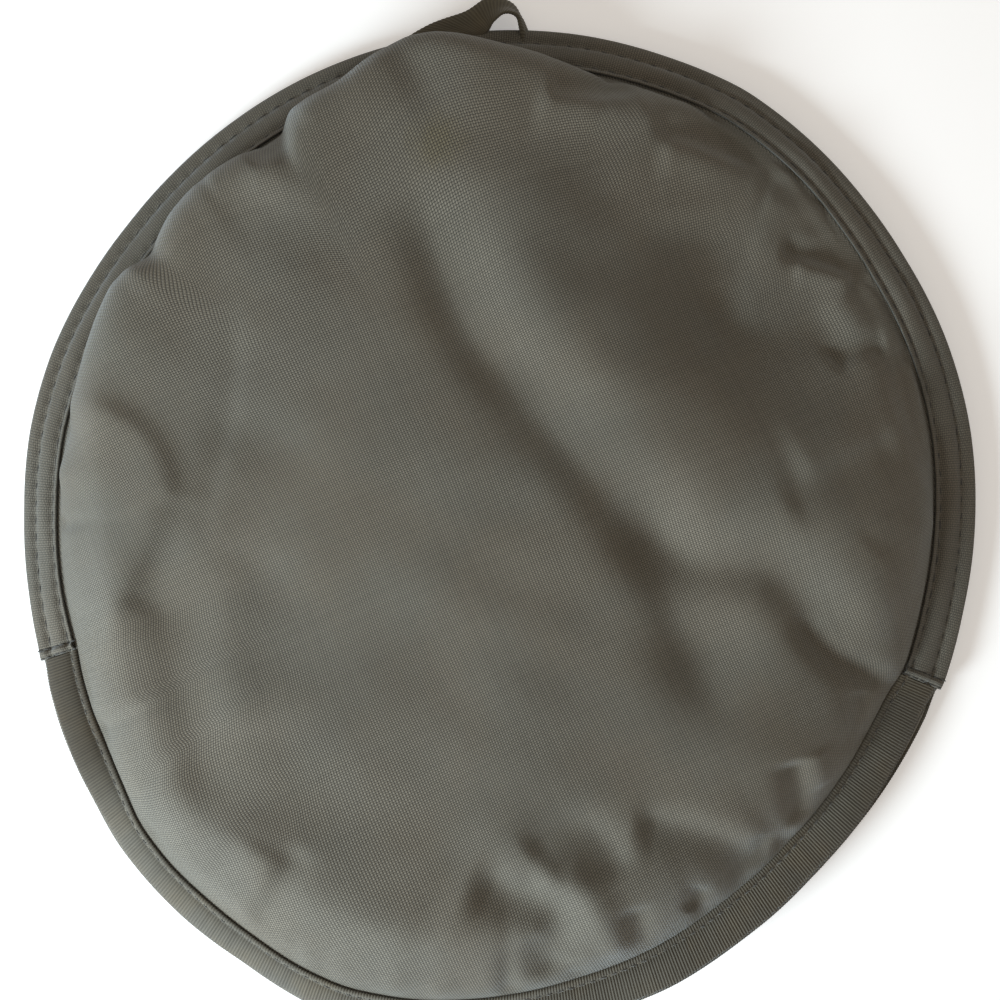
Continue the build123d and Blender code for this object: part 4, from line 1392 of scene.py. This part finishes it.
# %% Corner tacks
HEM_LINES = (0.45, 3.1)  # mm from the band's end: a row of thread on each side of the hem
TACK_PITCH = 2.25
TACK_LIFT = 0.04
TACK_SLACK = 0.04
TACK_STEPS = np.linspace(0.2, BAND_WIDTH - 1.4, 60)
tack_thread = stitch_shape(2.3, 0.5, 0.3)


def corner_tack(name, runs, node, seed):
    """Close stitches in two lines from the seam to the rim, at two places along the band."""
    rows = []
    for run in runs:
        place, out, up = seam_frame(np.full(len(TACK_STEPS), np.interp(run, band_run, band_angles)))
        heights = band_top(TACK_STEPS, run) + TACK_LIFT
        rows.append((place + out * TACK_STEPS[:, None] + up * heights[:, None], up))
    piece = stitched(name, rows, tack_thread, TACK_PITCH, seed, stitch_finish, slack=TACK_SLACK)
    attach(piece, "pouch")
    stands_for(piece, "thread", node)


# the tacks' thread is near black: painted shade along each side of the hem's rope
corner_tack("right_tack", HEM_LINES, "right_corner_tack", 21)
corner_tack("left_tack", [band_run[-1] - from_end for from_end in HEM_LINES], "left_corner_tack", 22)

# %% [markdown]
# ## The hanging loop
# The loop is one length of tape, doubled and sewn into the rim at both ends. It leaves the rim
# flat, rises, twists over on itself at the top and comes back down on its edge. The stations are
# listed: where the tape's middle is, which way its width points, and how wide it looks.

# %% Loop of tape
LOOP_ORIGIN = np.array([-6.850, 150.845, 6.0])
LOOP_TURN = math.radians(2.6)
LOOP_SPREAD = 31.0
LOOP_REACH = 10.6
LOOP_WIDTH = 9.5
LOOP_THICK = 1.2
LOOP_STATIONS = [
    ((-0.54, -0.06, 0.00), (1.00, 0.00, 0.00), 2.45),
    ((-0.41, 0.16, 0.01), (0.99, -0.12, 0.00), 2.15),
    ((-0.27, 0.38, 0.02), (0.95, -0.30, 0.00), 1.72),
    ((-0.02, 0.63, 0.06), (0.70, -0.71, 0.05), 1.07),
    ((0.15, 0.98, 0.09), (0.12, -0.97, 0.20), 0.96),
    ((0.32, 0.98, 0.11), (-0.35, -0.62, 0.70), 0.92),
    ((0.43, 0.70, 0.09), (-0.25, -0.15, 0.95), 0.80),
    ((0.47, 0.36, 0.06), (-0.45, 0.00, 0.89), 0.62),
    ((0.49, 0.13, 0.02), (-0.80, 0.00, 0.60), 0.46),
    ((0.50, -0.06, 0.00), (-1.00, 0.00, 0.00), 0.42),
]
LOOP_STEPS = 150
LOOP_FINE_STEPS = 420
LOOP_RELIEF = 0.00006


def loop_axis(vector):
    c, s = math.cos(LOOP_TURN), math.sin(LOOP_TURN)
    x, y, z = np.moveaxis(np.asarray(vector, float), -1, 0)
    return np.stack([x * c - y * s, x * s + y * c, z], -1)


def smooth_run(values, steps):
    columns = [np.column_stack([column, column * 0]) for column in np.asarray(values).T]
    return np.stack([curve_through(column, steps)[:, 0] for column in columns], -1)


stations_xyz = [(x * LOOP_SPREAD, y * LOOP_REACH, z * LOOP_REACH) for (x, y, z), _, _ in LOOP_STATIONS]
loop_line = LOOP_ORIGIN + loop_axis(smooth_run(stations_xyz, LOOP_STEPS))
loop_side = loop_axis(smooth_run([side for _, side, _ in LOOP_STATIONS], LOOP_STEPS))
loop_width = smooth_run([[share] for _, _, share in LOOP_STATIONS], LOOP_STEPS)[:, 0] * LOOP_WIDTH
loop_heading = np.gradient(loop_line, axis=0)
loop_heading /= np.linalg.norm(loop_heading, axis=1)[:, None]
loop_side /= np.linalg.norm(loop_side, axis=1)[:, None]
loop_up = np.cross(loop_heading, loop_side)
loop_up /= np.linalg.norm(loop_up, axis=1)[:, None]


def loop_sections():
    """A flat tape with soft edges and a slight crease where it was doubled."""
    half_round = np.radians(np.linspace(90, -90, 7))
    edge_up = np.sin(half_round) * LOOP_THICK / 2
    found = []
    for width in loop_width:
        edge_out = width / 2 - LOOP_THICK / 2 + np.cos(half_round) * LOOP_THICK / 2
        flat = np.linspace(-1, 1, 9)[1:-1] * (width / 2 - LOOP_THICK / 2)
        face_up = LOOP_THICK / 2 + 0.12 - 0.22 * ridge(flat, 0, 0.16 * width)
        top = np.column_stack([flat, face_up])
        right = np.column_stack([edge_out, edge_up])
        found.append(np.concatenate([top, right, top[::-1] * (1, -1), right[::-1] * (-1, 1)]))
    return np.array(found)


fine_at = np.linspace(0, LOOP_STEPS, LOOP_FINE_STEPS)
coarse_at = np.arange(LOOP_STEPS + 1)
loop_parts = [
    np.stack([np.interp(fine_at, coarse_at, column) for column in part.T], -1)
    for part in (loop_line, loop_side, loop_up)
]
coarse_sections = loop_sections()
fine_sections = np.stack(
    [np.stack([np.interp(fine_at, coarse_at, coarse_sections[:, i, j]) for j in (0, 1)], -1)
     for i in range(coarse_sections.shape[1])], 1
)
fine_run = run_along(loop_parts[0])
loop_flat = swept_tape("hanging_loop_flat", *loop_parts, fine_sections, fine_run, loop_tape_finish)
hanging_loop = ribbed("hanging_loop_tape", loop_flat, fine_run, LOOP_RELIEF, loop_tape_finish)
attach(hanging_loop, "loop")
stands_for(hanging_loop, "loop_tape", "hanging_loop")
print("loop tape, length in mm:", round(float(fine_run[-1]), 1))

# %% Tidy away the thread shapes
for shape in (rim_thread, lip_thread, tack_thread):
    bpy.data.objects.remove(shape)
